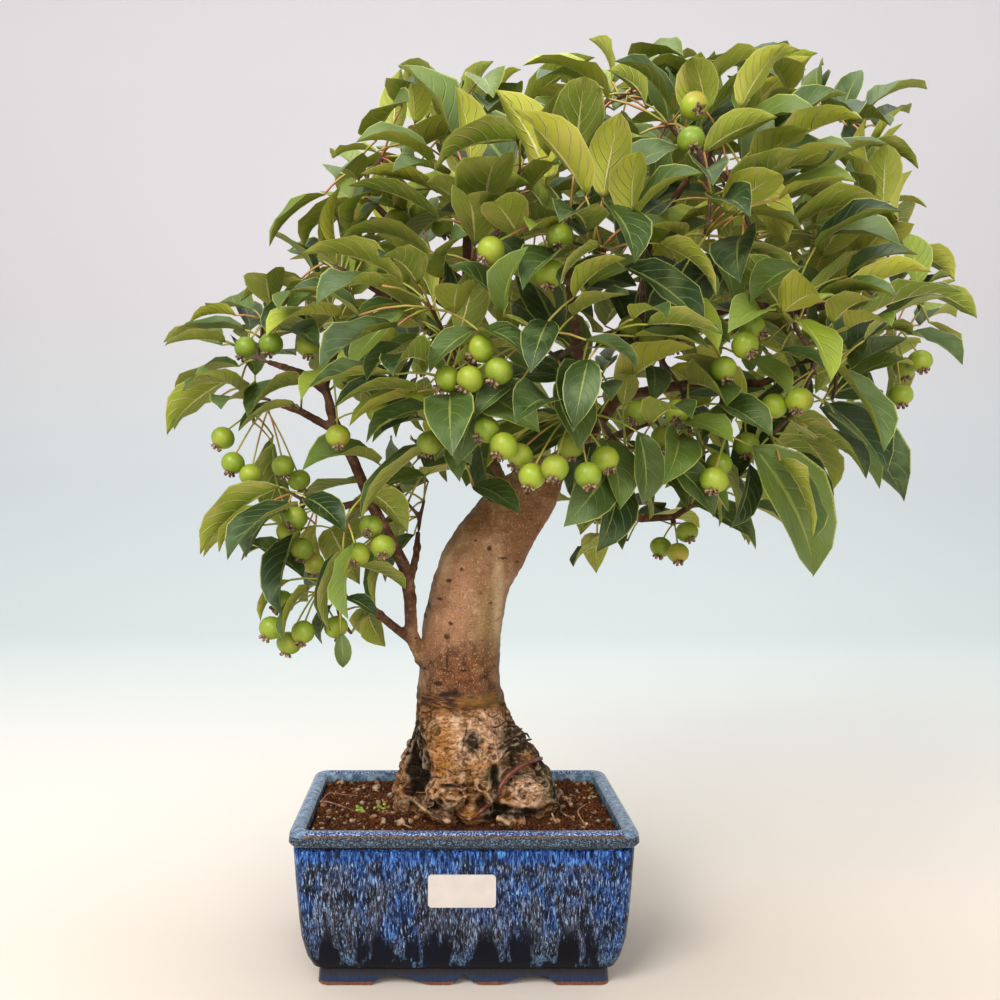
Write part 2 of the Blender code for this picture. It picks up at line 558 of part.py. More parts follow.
class Body:
    """One closed skin that grows: what sprouts from a socket takes the place of its face."""

    def __init__(self):
        self.points = []
        self.faces = []
        self.tree = None

    def extend(self, rings, socket=None):
        """Tube through rings, from a socket or from a flat end of its own; its rings' indices."""
        root = None
        if socket:
            self.take(socket)
            root = socket.turned(rings[0])[1]
        index, faces = tube_skin(rings, len(self.points), root)
        self.points.extend(point for ring in rings for point in ring)
        self.faces += faces
        return index

    def crosses(self, rings, skin):
        """Whether new skin over new rings would cross itself or the skin that it sprouts from."""
        points = self.points + [point for ring in rings for point in ring]
        if self.tree is None:
            self.tree = BVHTree.FromPolygons(self.points, self.faces)
        tree = BVHTree.FromPolygons(points, skin)
        if any(not set(skin[a]) & set(self.faces[b]) for a, b in tree.overlap(self.tree)):
            return True
        return any(not set(skin[a]) & set(skin[b]) for a, b in tree.overlap(tree))

    def take(self, socket):
        """Open the face of a socket, for what sprouts there."""
        corners = set(socket.corners)
        self.tree = None
        self.faces = [face for face in self.faces if set(face) != corners]
        socket.free = False

    def sprout(self, piece):
        """Grow a leaf or a fruit from its socket."""
        rings = piece.rings()
        root = piece.socket.turned(rings[0])[1]
        self.take(piece.socket)
        low = len(self.points)
        self.points.extend(point for ring in rings for point in ring)
        self.faces += piece.skin(root, low)


def piece_solid(piece, swell=0.0, skip=0.0):
    """Closed solid of a leaf or fruit by itself, without the first stretch of its stalk."""
    rings = piece.rings(swell)
    root = piece.socket.turned(rings[0])[0]
    share = skip / (piece.socket.middle - sum(rings[0], Vector()) / 3).length
    start = [a.lerp(b, min(share, 0.9)) for a, b in zip(root, rings[0])]
    points = start + [point for ring in rings for point in ring]
    return points, [(0, 2, 1)] + piece.skin([0, 1, 2], 3)


class Growth:
    """Everything that stands so far, so that new growth keeps clear of it."""

    def __init__(self):
        self.things = []

    def add(self, node, solid):
        points, faces = solid
        low, high = box_of(points)
        self.things.append((node, low, high, BVHTree.FromPolygons(points, faces)))

    def meets(self, solid, node, same):
        """Whether a solid meets what stands in its own node, or else in the others."""
        points, faces = solid
        low, high = box_of(points)
        tree = None
        for owner, low2, high2, other in self.things:
            if (owner == node) != same:
                continue
            if any(low[a] > high2[a] or high[a] < low2[a] for a in range(3)):
                continue
            tree = tree or BVHTree.FromPolygons(points, faces)
            if tree.overlap(other):
                return True
        return False

    def touches(self, points, node):
        """Whether any of the points lies nearer than a seat to what stands in the other nodes."""
        for owner, low, high, tree in self.things:
            for point in points:
                if owner != node and all(low[a] - SEAT < point[a] < high[a] + SEAT for a in range(3)):
                    if tree.find_nearest(point, SEAT)[0]:
                        return True
        return False

    def fits(self, piece, node, body):
        """Whether a leaf or fruit has room on its body."""
        if self.meets(piece_solid(piece, GROWTH_ROOM), node, False):
            return False
        if self.meets(piece_solid(piece, GROWTH_ROOM, ROOT_SKIP), node, True):
            return False
        rings = piece.rings()
        return not body.crosses(rings, piece.skin(piece.socket.turned(rings[0])[1], len(body.points)))


def box_of(points):
    """Lowest and highest corner of a cloud of points."""
    low = [min(p[a] for p in points) for a in range(3)]
    high = [max(p[a] for p in points) for a in range(3)]
    return low, high


def sides_of(name):
    """How many sides the wood has there."""
    if name == "trunk":
        return TRUNK_SIDES
    return ROOT_SIDES if name in ROOTS_SEEN else LIMB_SIDES


def limb_routes():
    """World route and radii of the trunk, roots and limbs."""
    routes = {"trunk": TRUNK_SEEN, **ROOTS_SEEN, **LIMBS_SEEN}
    return {name: ([seen(*p[:3]) for p in stations], [p[3] for p in stations])
            for name, stations in routes.items()}


def on_photo(point):
    """Pixel of the photograph where a point shows."""
    reach = point.y - EYE.y
    return (SIGHT_PX[0] + (point.x - EYE.x) * FOCAL_PX / reach,
            SIGHT_PX[1] - (point.z - EYE.z) * FOCAL_PX / reach)


def in_crown(point):
    """Whether a point is inside the crown's dome and shows inside its outline."""
    depth = point.y / DOME_DEPTH
    if ((point.x - CROWN_MIDDLE.x) / DOME_WIDTH) ** 2 + depth ** 2 > 1.0:
        return False
    if depth > 0.1 and ((point.z - DOME_LEVEL) / DOME_RISE) ** 2 + depth ** 2 > 1.0 and point.z > DOME_LEVEL:
        return False
    across, down = on_photo(point)
    inside = False
    for (x1, y1), (x2, y2) in zip(CROWN_SEEN, CROWN_SEEN[1:] + CROWN_SEEN[:1]):
        if (y1 > down) != (y2 > down) and across < x1 + (down - y1) * (x2 - x1) / (y2 - y1):
            inside = not inside
    return inside


def seat_on(route, radii, part, target):
    """Point just clear of a limb's skin and the way out of it towards a target."""
    point, ahead = along(route, part)
    if part >= 1.0:
        return point + ahead * SEAT, ahead
    out = target - point
    out = (out - ahead * out.dot(ahead)).normalized()
    place = part * (len(radii) - 1)
    radius = max(radii[int(place)], radii[min(int(place) + 1, len(radii) - 1)])
    return point + out * (radius + SEAT), out


class Twig:
    """One twig: its curve, its rings, and the sockets round its swollen nodes."""

    def __init__(self, curve, rings):
        self.curve = curve
        self.rings = rings
        self.sockets = []

    def settle(self, body, socket=None):
        """Grow the twig in a body and list its sockets."""
        index = body.extend(self.rings, socket)
        for number in range(len(self.rings) % 2, len(self.rings) - 1, 2):
            low, high = index[number], index[number + 1]
            for k in range(TWIG_SIDES):
                a, b, c, d = low[k], low[(k + 1) % TWIG_SIDES], high[(k + 1) % TWIG_SIDES], high[k]
                halves = [face for face in body.faces if set(face) <= {a, b, c, d}]
                half = halves[number // 2 % 2]
                self.sockets.append(Socket(half, [body.points[i] for i in half]))
        self.sockets.append(Socket(tuple(index[-1]), self.rings[-1]))


def twig_rings(curve, way):
    """Rings of a twig: its start, then a pair about every node, the last pair at its tip."""
    length = sum((b - a).length for a, b in zip(curve, curve[1:]))
    half = NODE_LENGTH / 2 / length
    nodes = TWIG_NODE if length < LONG_TWIG else TWIG_NODES
    side = way.orthogonal()
    rings = [ring_at(curve[0], way, side, TWIG_RADIUS, TWIG_SIDES)]
    for place in [part + shift for part in nodes for shift in (-half, half)] + [1.0 - 2.0 * half, 1.0]:
        point, ahead = along(curve, place)
        side = (side - ahead * side.dot(ahead)).normalized()
        radius = TWIG_RADIUS + (TWIG_END - TWIG_RADIUS) * place
        rings.append(ring_at(point, ahead, side, radius, TWIG_SIDES))
    return rings


def lay_twig(growth, node, body, start, way, tip, draw, socket=None):
    """A twig from a start to a tip, moved a little until it is clear."""
    for attempt in range(TWIG_TRIES):
        stray = TWIG_STRAY * attempt
        end = tip + Vector([draw.uniform(-stray, stray) for _ in range(3)])
        reach = (end - start).length
        knee = start + way * TWIG_KNEE * reach + Vector([draw.uniform(-stray, stray) for _ in range(3)])
        bow = end.lerp(knee, TWIG_BOW) - Vector((0.0, 0.0, TWIG_SAG * reach))
        curve = bend(start, knee, bow, end, TWIG_STEPS)
        rings = twig_rings(curve, way)
        if socket:
            rings = rings[1:]
            start_ring = [p.lerp(q, 0.3) for p, q in zip(socket.turned(rings[0])[0], rings[0])]
            solid = loft([start_ring] + rings)
        else:
            solid = loft(rings)
        if growth.meets(solid, node, False) or growth.meets(solid, node, True):
            continue
        if socket:
            start_ring, root = socket.turned(rings[0])
            if body.crosses(rings, tube_skin(rings, len(body.points), root)[1]):
                continue
            solid = loft([start_ring] + rings)
        growth.add(node, solid)
        return Twig(curve, rings)
    return None


def lay_shoots(growth, routes, draw):
    """Twigs of every leafy shoot; the side twigs fork from the first twig's nodes."""
    shoots = []
    for number, (limb, part, tips) in enumerate(SHOOTS_SEEN, 1):
        node = f"leafy_shoot_{number:02d}"
        body = Body()
        targets = [seen(*tip) for tip in tips]
        start, way = seat_on(*routes[limb], part, targets[0])
        first = lay_twig(growth, node, body, start, way, targets[0], draw)
        first.settle(body)
        twigs = [first]
        for target in targets[1:]:
            options = [socket for socket in first.sockets[:-TWIG_SIDES - 1] if socket.free]
            fork = max(options, key=lambda s: s.normal.dot((target - s.middle).normalized()))
            side = (target - fork.middle).normalized()
            way = (fork.normal + side * FORK_LEAN).normalized()
            twig = lay_twig(growth, node, body, fork.middle, way, target, draw, fork)
            if twig:
                twig.settle(body, fork)
                twigs.append(twig)
        shoots.append({"node": node, "body": body, "twigs": twigs, "leaves": []})
    return shoots


def seated_knob(growth, node, start, way):
    """Rings of a knob, sunk from its start to a seat's gap from what it grows on, or None."""
    side = way.orthogonal()
    for step in range(KNOB_STEPS, -1, -1):
        foot = start - way * KNOB_SINK * step / KNOB_STEPS
        rings = [ring_at(foot, way, side, KNOB_FOOT, KNOB_SIDES),
                 ring_at(foot + way * KNOB_LENGTH * KNOB_WIDEST, way, side, KNOB_RADIUS, KNOB_SIDES),
                 [foot + way * KNOB_LENGTH]]
        if not growth.meets(loft(rings), node, False) and not growth.touches(rings[0] + [foot], node):
            return rings
    return None


def lay_bunches(growth, routes, shoots, draw):
    """Knobs and fruits of every bunch, each on the wood nearest to where it shows."""
    carriers = list(routes.values())
    carriers += [(twig.curve, [TWIG_RADIUS] * 2) for shoot in shoots for twig in shoot["twigs"]]
    bunches = []
    for number, (knob_seen, depth, fruits_seen) in enumerate(BUNCHES_SEEN, 1):
        node = f"fruit_bunch_{number:02d}"
        spot = seen(*knob_seen)
        middles = [seen(across, down, depth) for across, down in fruits_seen]
        hang = sum(middles, Vector()) / len(middles)
        route, radii = min(carriers, key=lambda c: (along(c[0], nearest(c[0], spot))[0] - spot).length)
        best = nearest(route, spot)
        for attempt in range(TWIG_TRIES):
            part = best + draw.uniform(-KNOB_SLIDE, KNOB_SLIDE) * attempt
            part = min(max(part, KNOB_ENDS[0]), KNOB_ENDS[1])
            aim = hang + Vector([draw.uniform(-KNOB_STRAY, KNOB_STRAY) * attempt for _ in range(3)])
            rings = seated_knob(growth, node, *seat_on(route, radii, part, aim))
            if rings:
                break
        growth.add(node, loft(rings))
        body = Body()
        index = body.extend(rings)
        cone = [face for face in body.faces if index[-1][0] in face]
        sockets = [Socket(face, [body.points[i] for i in face]) for face in cone]
        fruits = []
        for order, (across, down) in enumerate(fruits_seen):
            lean = FRUIT_LEAN * math.sin(order * GOLDEN_TURN * 2.0)
            for nudge in DEPTH_NUDGES:
                middle = seen(across, down, depth + lean + nudge)
                free = [socket for socket in sockets if socket.free]
                socket = max(free, key=lambda s: s.normal.dot((middle - s.middle).normalized()))
                fruit = Fruit(socket, middle, FRUIT_RADIUS)
                if growth.fits(fruit, node, body):
                    growth.add(node, piece_solid(fruit))
                    body.sprout(fruit)
                    fruits.append(fruit)
                    break
        bunches.append({"node": node, "body": body, "fruits": fruits})
    return bunches


def bends(stalk, blade):
    """Whether a blade follows on from its stalk and doesn't fold back over it."""
    return stalk.normalized().dot(blade.normalized()) > LEAST_BEND


def seen_options(shoots, base, tip):
    """Sockets near a seen leaf's base, each with where the blade would start, the nearest first.

    A blade starts at its seen base where the stalk can reach it, or else in line with the stalk.
    """
    length = (tip - base).length
    options = []
    for shoot in shoots:
        for twig in shoot["twigs"]:
            for socket in twig.sockets:
                gap = (base - socket.middle).length
                if not socket.free or gap > SEEN_REACH:
                    continue
                ahead = (tip - socket.middle).normalized()
                for start, cost in ((base, gap), (tip - ahead * length, gap + 0.012)):
                    stalk = start - socket.middle
                    if not SHORT_STALK < stalk.length < LONG_STALK:
                        continue
                    if stalk.normalized().dot(socket.normal) > LEAST_LOOK and bends(stalk, tip - start):
                        options.append((cost, len(options), shoot, socket, start))
    return sorted(options, key=lambda option: option[:2])


def lay_seen_leaves(growth, shoots):
    """Leaves that stand out in the photograph, each from a socket near its base."""
    for base_x, base_y, base_depth, tip_x, tip_y, tip_depth, facing in LEAVES_SEEN:
        up = Vector((0.0, -facing, math.sqrt(1.0 - facing * facing)))
        done = False
        for nudge in DEPTH_NUDGES:
            base = seen(base_x, base_y, base_depth + nudge)
            tip = seen(tip_x, tip_y, tip_depth + nudge)
            for _, _, shoot, socket, start in seen_options(shoots, base, tip)[:SEEN_TRIES]:
                leaf = Leaf(socket, start, tip, up, SEEN_FOLD, SEEN_ARCH)
                if growth.fits(leaf, shoot["node"], shoot["body"]):
                    place_leaf(growth, shoot, leaf)
                    done = True
                    break
            if done:
                break


def place_leaf(growth, shoot, leaf):
    """Grow a leaf and keep its room."""
    growth.add(shoot["node"], piece_solid(leaf))
    shoot["body"].sprout(leaf)
    shoot["leaves"].append(leaf)


def ruled_leaf(socket, ahead, size, draw):
    """Leaf from a socket that reaches out of the crown and sags with its height."""
    out = (socket.middle - CROWN_MIDDLE).normalized()
    way = (socket.normal + ahead * draw.uniform(0.0, 0.6) + out * draw.uniform(0.1, 0.6)).normalized()
    base = socket.middle + way * STALK_LENGTH * draw.uniform(*STALK_SPREAD)
    height = (socket.middle.z - CROWN_FOOT) / CROWN_HEIGHT
    rise = height - LEAF_DROOP + draw.uniform(-0.25, 0.25)
    heading = (way + out * 0.3 + Vector((0.0, 0.0, rise))).normalized()
    tip = base + heading * LEAF_LENGTH * draw.uniform(*BLADE_SPREAD) * size
    up = Vector((0.0, 0.0, 1.0)) + out * (0.15 - 0.6 * heading.z)
    up += Vector([draw.uniform(-0.3, 0.3) for _ in range(3)])
    return Leaf(socket, base, tip, up, draw.uniform(*FOLD_SPREAD), draw.uniform(*ARCH_SPREAD))


def lay_ruled_leaves(growth, shoots, draw):
    """A leaf from every socket that has room for one, from each twig's tip back."""
    for shoot in shoots:
        for twig in shoot["twigs"]:
            ahead = (twig.curve[-1] - twig.curve[-3]).normalized()
            for socket in reversed(twig.sockets):
                if not socket.free:
                    continue
                for attempt in range(LEAF_TRIES):
                    leaf = ruled_leaf(socket, ahead, 1.0 - LEAF_SHRINK * attempt / LEAF_TRIES, draw)
                    if (leaf.base - socket.middle).normalized().dot(socket.normal) < LEAST_LOOK:
                        continue
                    if not bends(leaf.base - socket.middle, leaf.tip - leaf.base):
                        continue
                    if not all(in_crown(point) for point in (leaf.tip, leaf.base, leaf.midrib(0.5)[0])):
                        continue
                    if growth.fits(leaf, shoot["node"], shoot["body"]):
                        place_leaf(growth, shoot, leaf)
                        break


def raw_object(name, solid):
    """Object from points and faces, in the scene."""
    points, faces = solid
    mesh = bpy.data.meshes.new(name)
    mesh.from_pydata(points, [], faces)
    item = bpy.data.objects.new(name, mesh)
    bpy.context.scene.collection.objects.link(item)
    return item


def applied(item):
    """The object with its modifiers turned into its mesh."""
    mesh = bpy.data.meshes.new_from_object(item.evaluated_get(bpy.context.evaluated_depsgraph_get()))
    item.modifiers.clear()
    item.data = mesh
    return item


def flattened(item):
    """The object with the triangles of each flat merged and cut again without slivers."""
    mesh = bmesh.new()
    mesh.from_mesh(item.data)
    bmesh.ops.remove_doubles(mesh, verts=mesh.verts[:], dist=WELD)
    bmesh.ops.dissolve_limit(mesh, angle_limit=FLAT_ANGLE, verts=mesh.verts[:], edges=mesh.edges[:])
    bmesh.ops.triangulate(mesh, faces=mesh.faces[:])
    mesh.to_mesh(item.data)
    mesh.free()
    return item


def fused(name, solids):
    """One body from solids that run into each other."""
    item = raw_object(name, solids[0])
    others = bpy.data.collections.new(name + "_others")
    for number, solid in enumerate(solids[1:]):
        other = raw_object(f"{name}_other_{number}", solid)
        bpy.context.scene.collection.objects.unlink(other)
        others.objects.link(other)
    bpy.context.scene.collection.children.link(others)
    union = item.modifiers.new("fuse", "BOOLEAN")
    union.operation = "UNION"
    union.operand_type = "COLLECTION"
    union.collection = others
    union.solver = "MANIFOLD"
    applied(item)
    for other in list(others.objects):
        bpy.data.objects.remove(other, do_unlink=True)
    bpy.data.collections.remove(others)
    return flattened(item)


def carved(item, cutters):
    """The object with solids taken out of it, one after another.

    The exact solver leaves crossing slivers where the cutters' flats meet the pot's.
    """
    for number, solid in enumerate(cutters):
        cutter = raw_object(f"cutter_{number}", solid)
        cut = item.modifiers.new("carve", "BOOLEAN")
        cut.operation = "DIFFERENCE"
        cut.object = cutter
        cut.solver = "MANIFOLD"
        applied(item)
        bpy.data.objects.remove(cutter, do_unlink=True)
    return flattened(item)


def painted(item, color, roughness):
    """The object with its own plain material."""
    material = bpy.data.materials.new(item.name)
    material.use_nodes = True
    shader = material.node_tree.nodes["Principled BSDF"]
    shader.inputs["Base Color"].default_value = (*color, 1.0)
    shader.inputs["Roughness"].default_value = roughness
    shader.inputs["Metallic"].default_value = 0.0
    material.diffuse_color = (*color, 1.0)
    item.data.materials.clear()
    item.data.materials.append(material)
    return item


def rounded(half_x, half_y, corner, steps=CORNER_STEPS):
    """Outline of a rounded rectangle, anticlockwise."""
    outline = []
    for quarter, (sx, sy) in enumerate(((1, 1), (-1, 1), (-1, -1), (1, -1))):
        for k in range(steps + 1):
            turn = (quarter + k / steps) * math.pi / 2
            outline.append((sx * (half_x - corner) + corner * math.cos(turn),
                            sy * (half_y - corner) + corner * math.sin(turn)))
    return outline


def pot_ring(inset, height, share=1.0):
    """Ring of the pot at an inset from its rim, drawn in towards its middle by a share."""
    corner = max(RIM_CORNER - 0.4 * inset, 0.004)
    outline = rounded(RIM_WIDTH / 2 - inset, RIM_DEPTH / 2 - inset, corner)
    return [Vector((x * share, y * share, height)) for x, y in outline]


def box(low, high):
    """Plain box between two corners."""
    outline = [(low[0], low[1]), (high[0], low[1]), (high[0], high[1]), (low[0], high[1])]
    return loft([[Vector((x, y, z)) for x, y in outline] for z in (low[2], high[2])])


def scallop(middle, width, along_y):
    """Cutter for one arch in the pot's apron, right through the pot."""
    profile = [(-width / 2, -0.002), (width / 2, -0.002)]
    for k in range(ARCH_STEPS + 1):
        turn = math.pi * k / ARCH_STEPS
        profile.append((width / 2 * math.cos(turn), ARCH_FOOT + (SCALLOP_RISE - ARCH_FOOT) * math.sin(turn)))
    if along_y:
        return loft([[Vector((middle + u, y, z)) for u, z in profile] for y in (RIM_DEPTH, -RIM_DEPTH)])
    return loft([[Vector((x, middle + u, z)) for u, z in profile] for x in (-RIM_WIDTH, RIM_WIDTH)])


def drain(side):
    """Cutter for one drain hole in the pot's floor."""
    middle = Vector((side * DRAIN_OFFSET, 0.0, 0.0))
    ends = [middle + Vector((0.0, 0.0, z)) for z in (FLOOR_UNDER - 0.004, FLOOR_TOP + 0.004)]
    return tube(ends, [DRAIN_RADIUS, DRAIN_RADIUS], DRAIN_SIDES)


def make_pot():
    """Pot with its feet, apron arches, lip, groove and drain holes."""
    rings = [pot_ring(inset, height) for inset, height in POT_OUTSIDE + POT_INSIDE]
    cutters = [scallop(middle, width, True) for middle, width in FRONT_SCALLOPS]
    cutters += [scallop(0.0, SIDE_SCALLOP, False), drain(-1), drain(1)]
    return painted(carved(raw_object("pot", loft(rings)), cutters), (0.02, 0.04, 0.16), 0.2)


def make_label():
    """Blank label on the flat of the pot's front."""
    low, high = LABEL_FLAT
    across = Vector((1.0, 0.0, 0.0))
    upward = Vector((0.0, high[0] - low[0], high[1] - low[1])).normalized()
    outward = across.cross(upward)
    share = (LABEL_AT[1] - low[1]) / (high[1] - low[1])
    inset = low[0] + (high[0] - low[0]) * share
    middle = Vector((LABEL_AT[0], inset - RIM_DEPTH / 2, LABEL_AT[1]))
    outline = rounded(LABEL_WIDTH / 2, LABEL_HEIGHT / 2, LABEL_CORNER)
    rings = [[middle + across * u + upward * v + outward * lift for u, v in outline]
             for lift in (SEAT, SEAT + LABEL_THICK)]
    return painted(raw_object("label", loft(rings)), (0.85, 0.84, 0.82), 0.6)


def make_screen(name, side):
    """Drain screen with square holes, on the pot's floor over a drain hole."""
    count = 2 * SCREEN_HOLES + 2
    lines = [SCREEN_SIDE * (k / (count - 1) - 0.5) for k in range(count)]
    base = FLOOR_TOP + SEAT
    mesh = bmesh.new()
    grid = [[mesh.verts.new((side * DRAIN_OFFSET + x, y, base)) for y in lines] for x in lines]
    for i in range(count - 1):
        for j in range(count - 1):
            if i % 2 and j % 2:
                continue
            mesh.faces.new((grid[i][j], grid[i][j + 1], grid[i + 1][j + 1], grid[i + 1][j]))
    raised = bmesh.ops.extrude_face_region(mesh, geom=mesh.faces[:])
    top = [part for part in raised["geom"] if isinstance(part, bmesh.types.BMVert)]
    bmesh.ops.translate(mesh, vec=(0.0, 0.0, SCREEN_THICK), verts=top)
    bmesh.ops.recalc_face_normals(mesh, faces=mesh.faces[:])
    item = bpy.data.objects.new(name, bpy.data.meshes.new(name))
    mesh.to_mesh(item.data)
    mesh.free()
    bpy.context.scene.collection.objects.link(item)
    return painted(item, (0.03, 0.03, 0.03), 0.6)


def soil_height(x, y):
    """Height of the soil's surface: mounded towards the trunk, with small dips."""
    away = math.hypot(x / (RIM_WIDTH / 2), y / (RIM_DEPTH / 2))
    inner = max(1.0 - away, 0.0)
    dips = math.sin(x * 170.0 + 1.0) * math.sin(y * 210.0) * SOIL_DIPS
    return SOIL_EDGE + SOIL_RISE * inner ** 1.2 + dips * min(inner * 3.0, 1.0)


def make_soil(routes):
    """Soil that fills the pot, with the hole that the tree stands in and room for the screens."""
    rings = []
    for inset, height in reversed(POT_INSIDE):
        if height < SOIL_EDGE:
            lift = SEAT if height == FLOOR_TOP else 0.0
            rings.append(pot_ring(inset + SOIL_ROOM, height + lift))
    edge = POT_INSIDE[1][0] + SOIL_ROOM
    for share in SOIL_RINGS:
        ring = pot_ring(edge, 0.0, share)
        rings.append([Vector((p.x, p.y, soil_height(p.x, p.y))) for p in ring])
    cutters = []
    for name in ["trunk", *ROOTS_SEEN]:
        route, radii = routes[name]
        cutters.append(tube(route, radii, sides_of(name), ROOT_ROOM))
    reach = SCREEN_SIDE / 2 + SCREEN_ROOM
    for side in (-1, 1):
        cutters.append(box((side * DRAIN_OFFSET - reach, -reach, FLOOR_TOP - 0.002),
                           (side * DRAIN_OFFSET + reach, reach, FLOOR_TOP + 2 * SEAT + SCREEN_THICK)))
    return painted(carved(raw_object("soil", loft(rings)), cutters), (0.12, 0.05, 0.03), 0.95)


def stand_on_origin(items):
    """Parent every piece to an empty, placed so that the whole stands on the origin."""
    corners = [point for item in items for point in (vertex.co for vertex in item.data.vertices)]
    low, high = box_of(corners)
    root = bpy.data.objects.new("bonsai", None)
    root.location = (-(low[0] + high[0]) / 2, -(low[1] + high[1]) / 2, -low[2])
    bpy.context.scene.collection.objects.link(root)
    for item in items:
        item.parent = root


def main():
    for item in list(bpy.data.objects):
        bpy.data.objects.remove(item, do_unlink=True)
    draw = random.Random(SEED)
    routes = limb_routes()
    growth = Growth()
    wood = []
    for name, (route, radii) in routes.items():
        wood.append(tube(route, radii, sides_of(name)))
        growth.add("tree_wood", wood[-1])
    shoots = lay_shoots(growth, routes, draw)
    bunches = lay_bunches(growth, routes, shoots, draw)
    lay_seen_leaves(growth, shoots)
    lay_ruled_leaves(growth, shoots, draw)
    items = [make_pot(), make_label(), make_soil(routes),
             make_screen("drain_screen_left", -1), make_screen("drain_screen_right", 1),
             painted(fused("tree_wood", wood), (0.22, 0.12, 0.07), 0.8)]
    for shoot in shoots:
        item = raw_object(shoot["node"], (shoot["body"].points, shoot["body"].faces))
        items.append(painted(item, (0.08, 0.22, 0.04), 0.5))
    for bunch in bunches:
        item = raw_object(bunch["node"], (bunch["body"].points, bunch["body"].faces))
        items.append(painted(item, (0.36, 0.55, 0.08), 0.4))
    stand_on_origin(items)


main()
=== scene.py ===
"""Crabapple bonsai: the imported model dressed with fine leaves, fruits, bark, glaze and soil."""

import math
import random
from collections import namedtuple
from contextlib import contextmanager

import bmesh
import bpy
import numpy
from mathutils import Matrix, Vector, noise
from mathutils.bvhtree import BVHTree


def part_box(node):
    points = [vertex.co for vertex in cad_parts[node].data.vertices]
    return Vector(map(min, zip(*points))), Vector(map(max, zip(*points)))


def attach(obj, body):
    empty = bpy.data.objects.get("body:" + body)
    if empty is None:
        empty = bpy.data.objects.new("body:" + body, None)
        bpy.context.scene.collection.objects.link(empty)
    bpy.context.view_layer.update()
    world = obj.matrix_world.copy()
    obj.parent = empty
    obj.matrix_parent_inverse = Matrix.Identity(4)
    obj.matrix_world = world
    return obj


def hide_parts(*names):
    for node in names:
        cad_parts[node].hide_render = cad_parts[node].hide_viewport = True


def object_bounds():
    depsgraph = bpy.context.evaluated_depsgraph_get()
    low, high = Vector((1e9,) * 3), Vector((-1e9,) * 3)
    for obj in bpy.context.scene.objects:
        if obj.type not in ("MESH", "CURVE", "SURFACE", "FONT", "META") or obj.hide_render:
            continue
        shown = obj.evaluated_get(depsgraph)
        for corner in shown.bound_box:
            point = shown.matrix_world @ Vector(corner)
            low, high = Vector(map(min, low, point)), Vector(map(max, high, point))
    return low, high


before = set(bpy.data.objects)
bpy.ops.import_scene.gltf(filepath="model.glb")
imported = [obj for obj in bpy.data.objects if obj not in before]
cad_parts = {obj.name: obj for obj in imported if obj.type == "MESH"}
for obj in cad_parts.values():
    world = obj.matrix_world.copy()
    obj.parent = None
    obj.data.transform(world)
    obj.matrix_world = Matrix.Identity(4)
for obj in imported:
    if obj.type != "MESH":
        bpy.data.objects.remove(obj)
packed_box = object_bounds()

# Noise vectors take their offsets from this seed, and without one from the clock, which differs each run
NOISE_SEED = 5
noise.seed_set(NOISE_SEED)

pot_low, pot_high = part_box("pot")
POT_MIDDLE = Vector(((pot_low[0] + pot_high[0]) / 2, (pot_low[1] + pot_high[1]) / 2, 0.0))

# The photograph's viewpoint: the eye in front of the pot's middle, its focal length in pixels,
# and the pixel straight ahead of it
EYE = Vector((-0.012, -0.611, 0.270))
FOCAL_PX = 1017.0
SIGHT_PX = (442.0, 495.0)
PHOTO_SIDE = 1000.0
SENSOR = 36.0

# Leaves
LEAF_STATIONS = [0.07, 0.20, 0.36, 0.53, 0.69, 0.83, 0.94]
LEAF_HALF_THICK = 0.00028
STALK_RADIUS = 0.00055
STALK_BOW = 0.07
WELD = 0.000003
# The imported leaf's outer station: its part of the blade and its share of the half width
FAR_STATION = 0.66
FAR_SHARE = 0.83
# Least and greatest thickness of a packed leaf at its rib, and how much wider the fine leaf is
RIB_THICKNESS = (0.0008, 0.0018)
BLADE_SWELL = 1.07
# Fruits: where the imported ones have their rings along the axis, and their end triangle's edge
FRUIT_RINGS = (0.38, -0.55)
FRUIT_END = 0.0066 * 0.30 * math.sqrt(3.0)
END_SLACK = 0.00015
PEDICEL_RADIUS = 0.00055

Fruit = namedtuple("Fruit", "socket neck middle axis radius")

# Half length and half width of the pot's rim
RIM_HALF = (0.0955, 0.065)

# Crown outline and the part of it that is dense, as the photograph shows them
CROWN_SEEN = [
    (162, 340), (212, 300), (262, 296), (268, 232), (330, 232), (326, 150), (392, 118), (398, 56),
    (455, 70), (492, 56), (560, 66), (590, 34), (640, 62), (700, 44), (745, 56), (790, 38),
    (850, 62), (928, 82), (904, 124), (932, 206), (908, 240), (980, 284), (976, 330), (966, 366),
    (926, 352), (906, 400), (870, 410), (908, 502), (846, 462), (820, 578), (772, 492), (760, 550),
    (700, 530), (684, 580), (640, 545), (598, 576), (566, 574), (556, 500), (520, 518), (452, 500),
    (440, 560), (408, 600), (392, 650), (345, 670), (330, 652), (262, 660), (256, 620), (276, 565),
    (240, 562), (198, 556), (214, 500), (262, 484), (206, 470), (208, 430), (164, 436), (172, 388),
]
DENSE_SEEN = [
    (336, 150), (400, 110), (470, 80), (600, 60), (790, 60), (880, 110), (900, 200), (880, 260),
    (930, 300), (900, 340), (860, 400), (790, 420), (740, 460), (660, 470), (590, 460), (520, 460),
    (450, 450), (392, 420), (352, 380), (330, 320), (350, 240),
]
# Bare places that no added leaf may hide: trunk and the low branch
BARE_SEEN = [
    (545, 492), (530, 505), (508, 530), (490, 560), (470, 600), (462, 640), (458, 680), (455, 720),
    (455, 760), (411, 640), (409, 610), (407, 580), (398, 555), (384, 525), (372, 500), (360, 475),
    (350, 450), (340, 425), (392, 625), (300, 411), (320, 405), (425, 540), (600, 530), (450, 540),
]


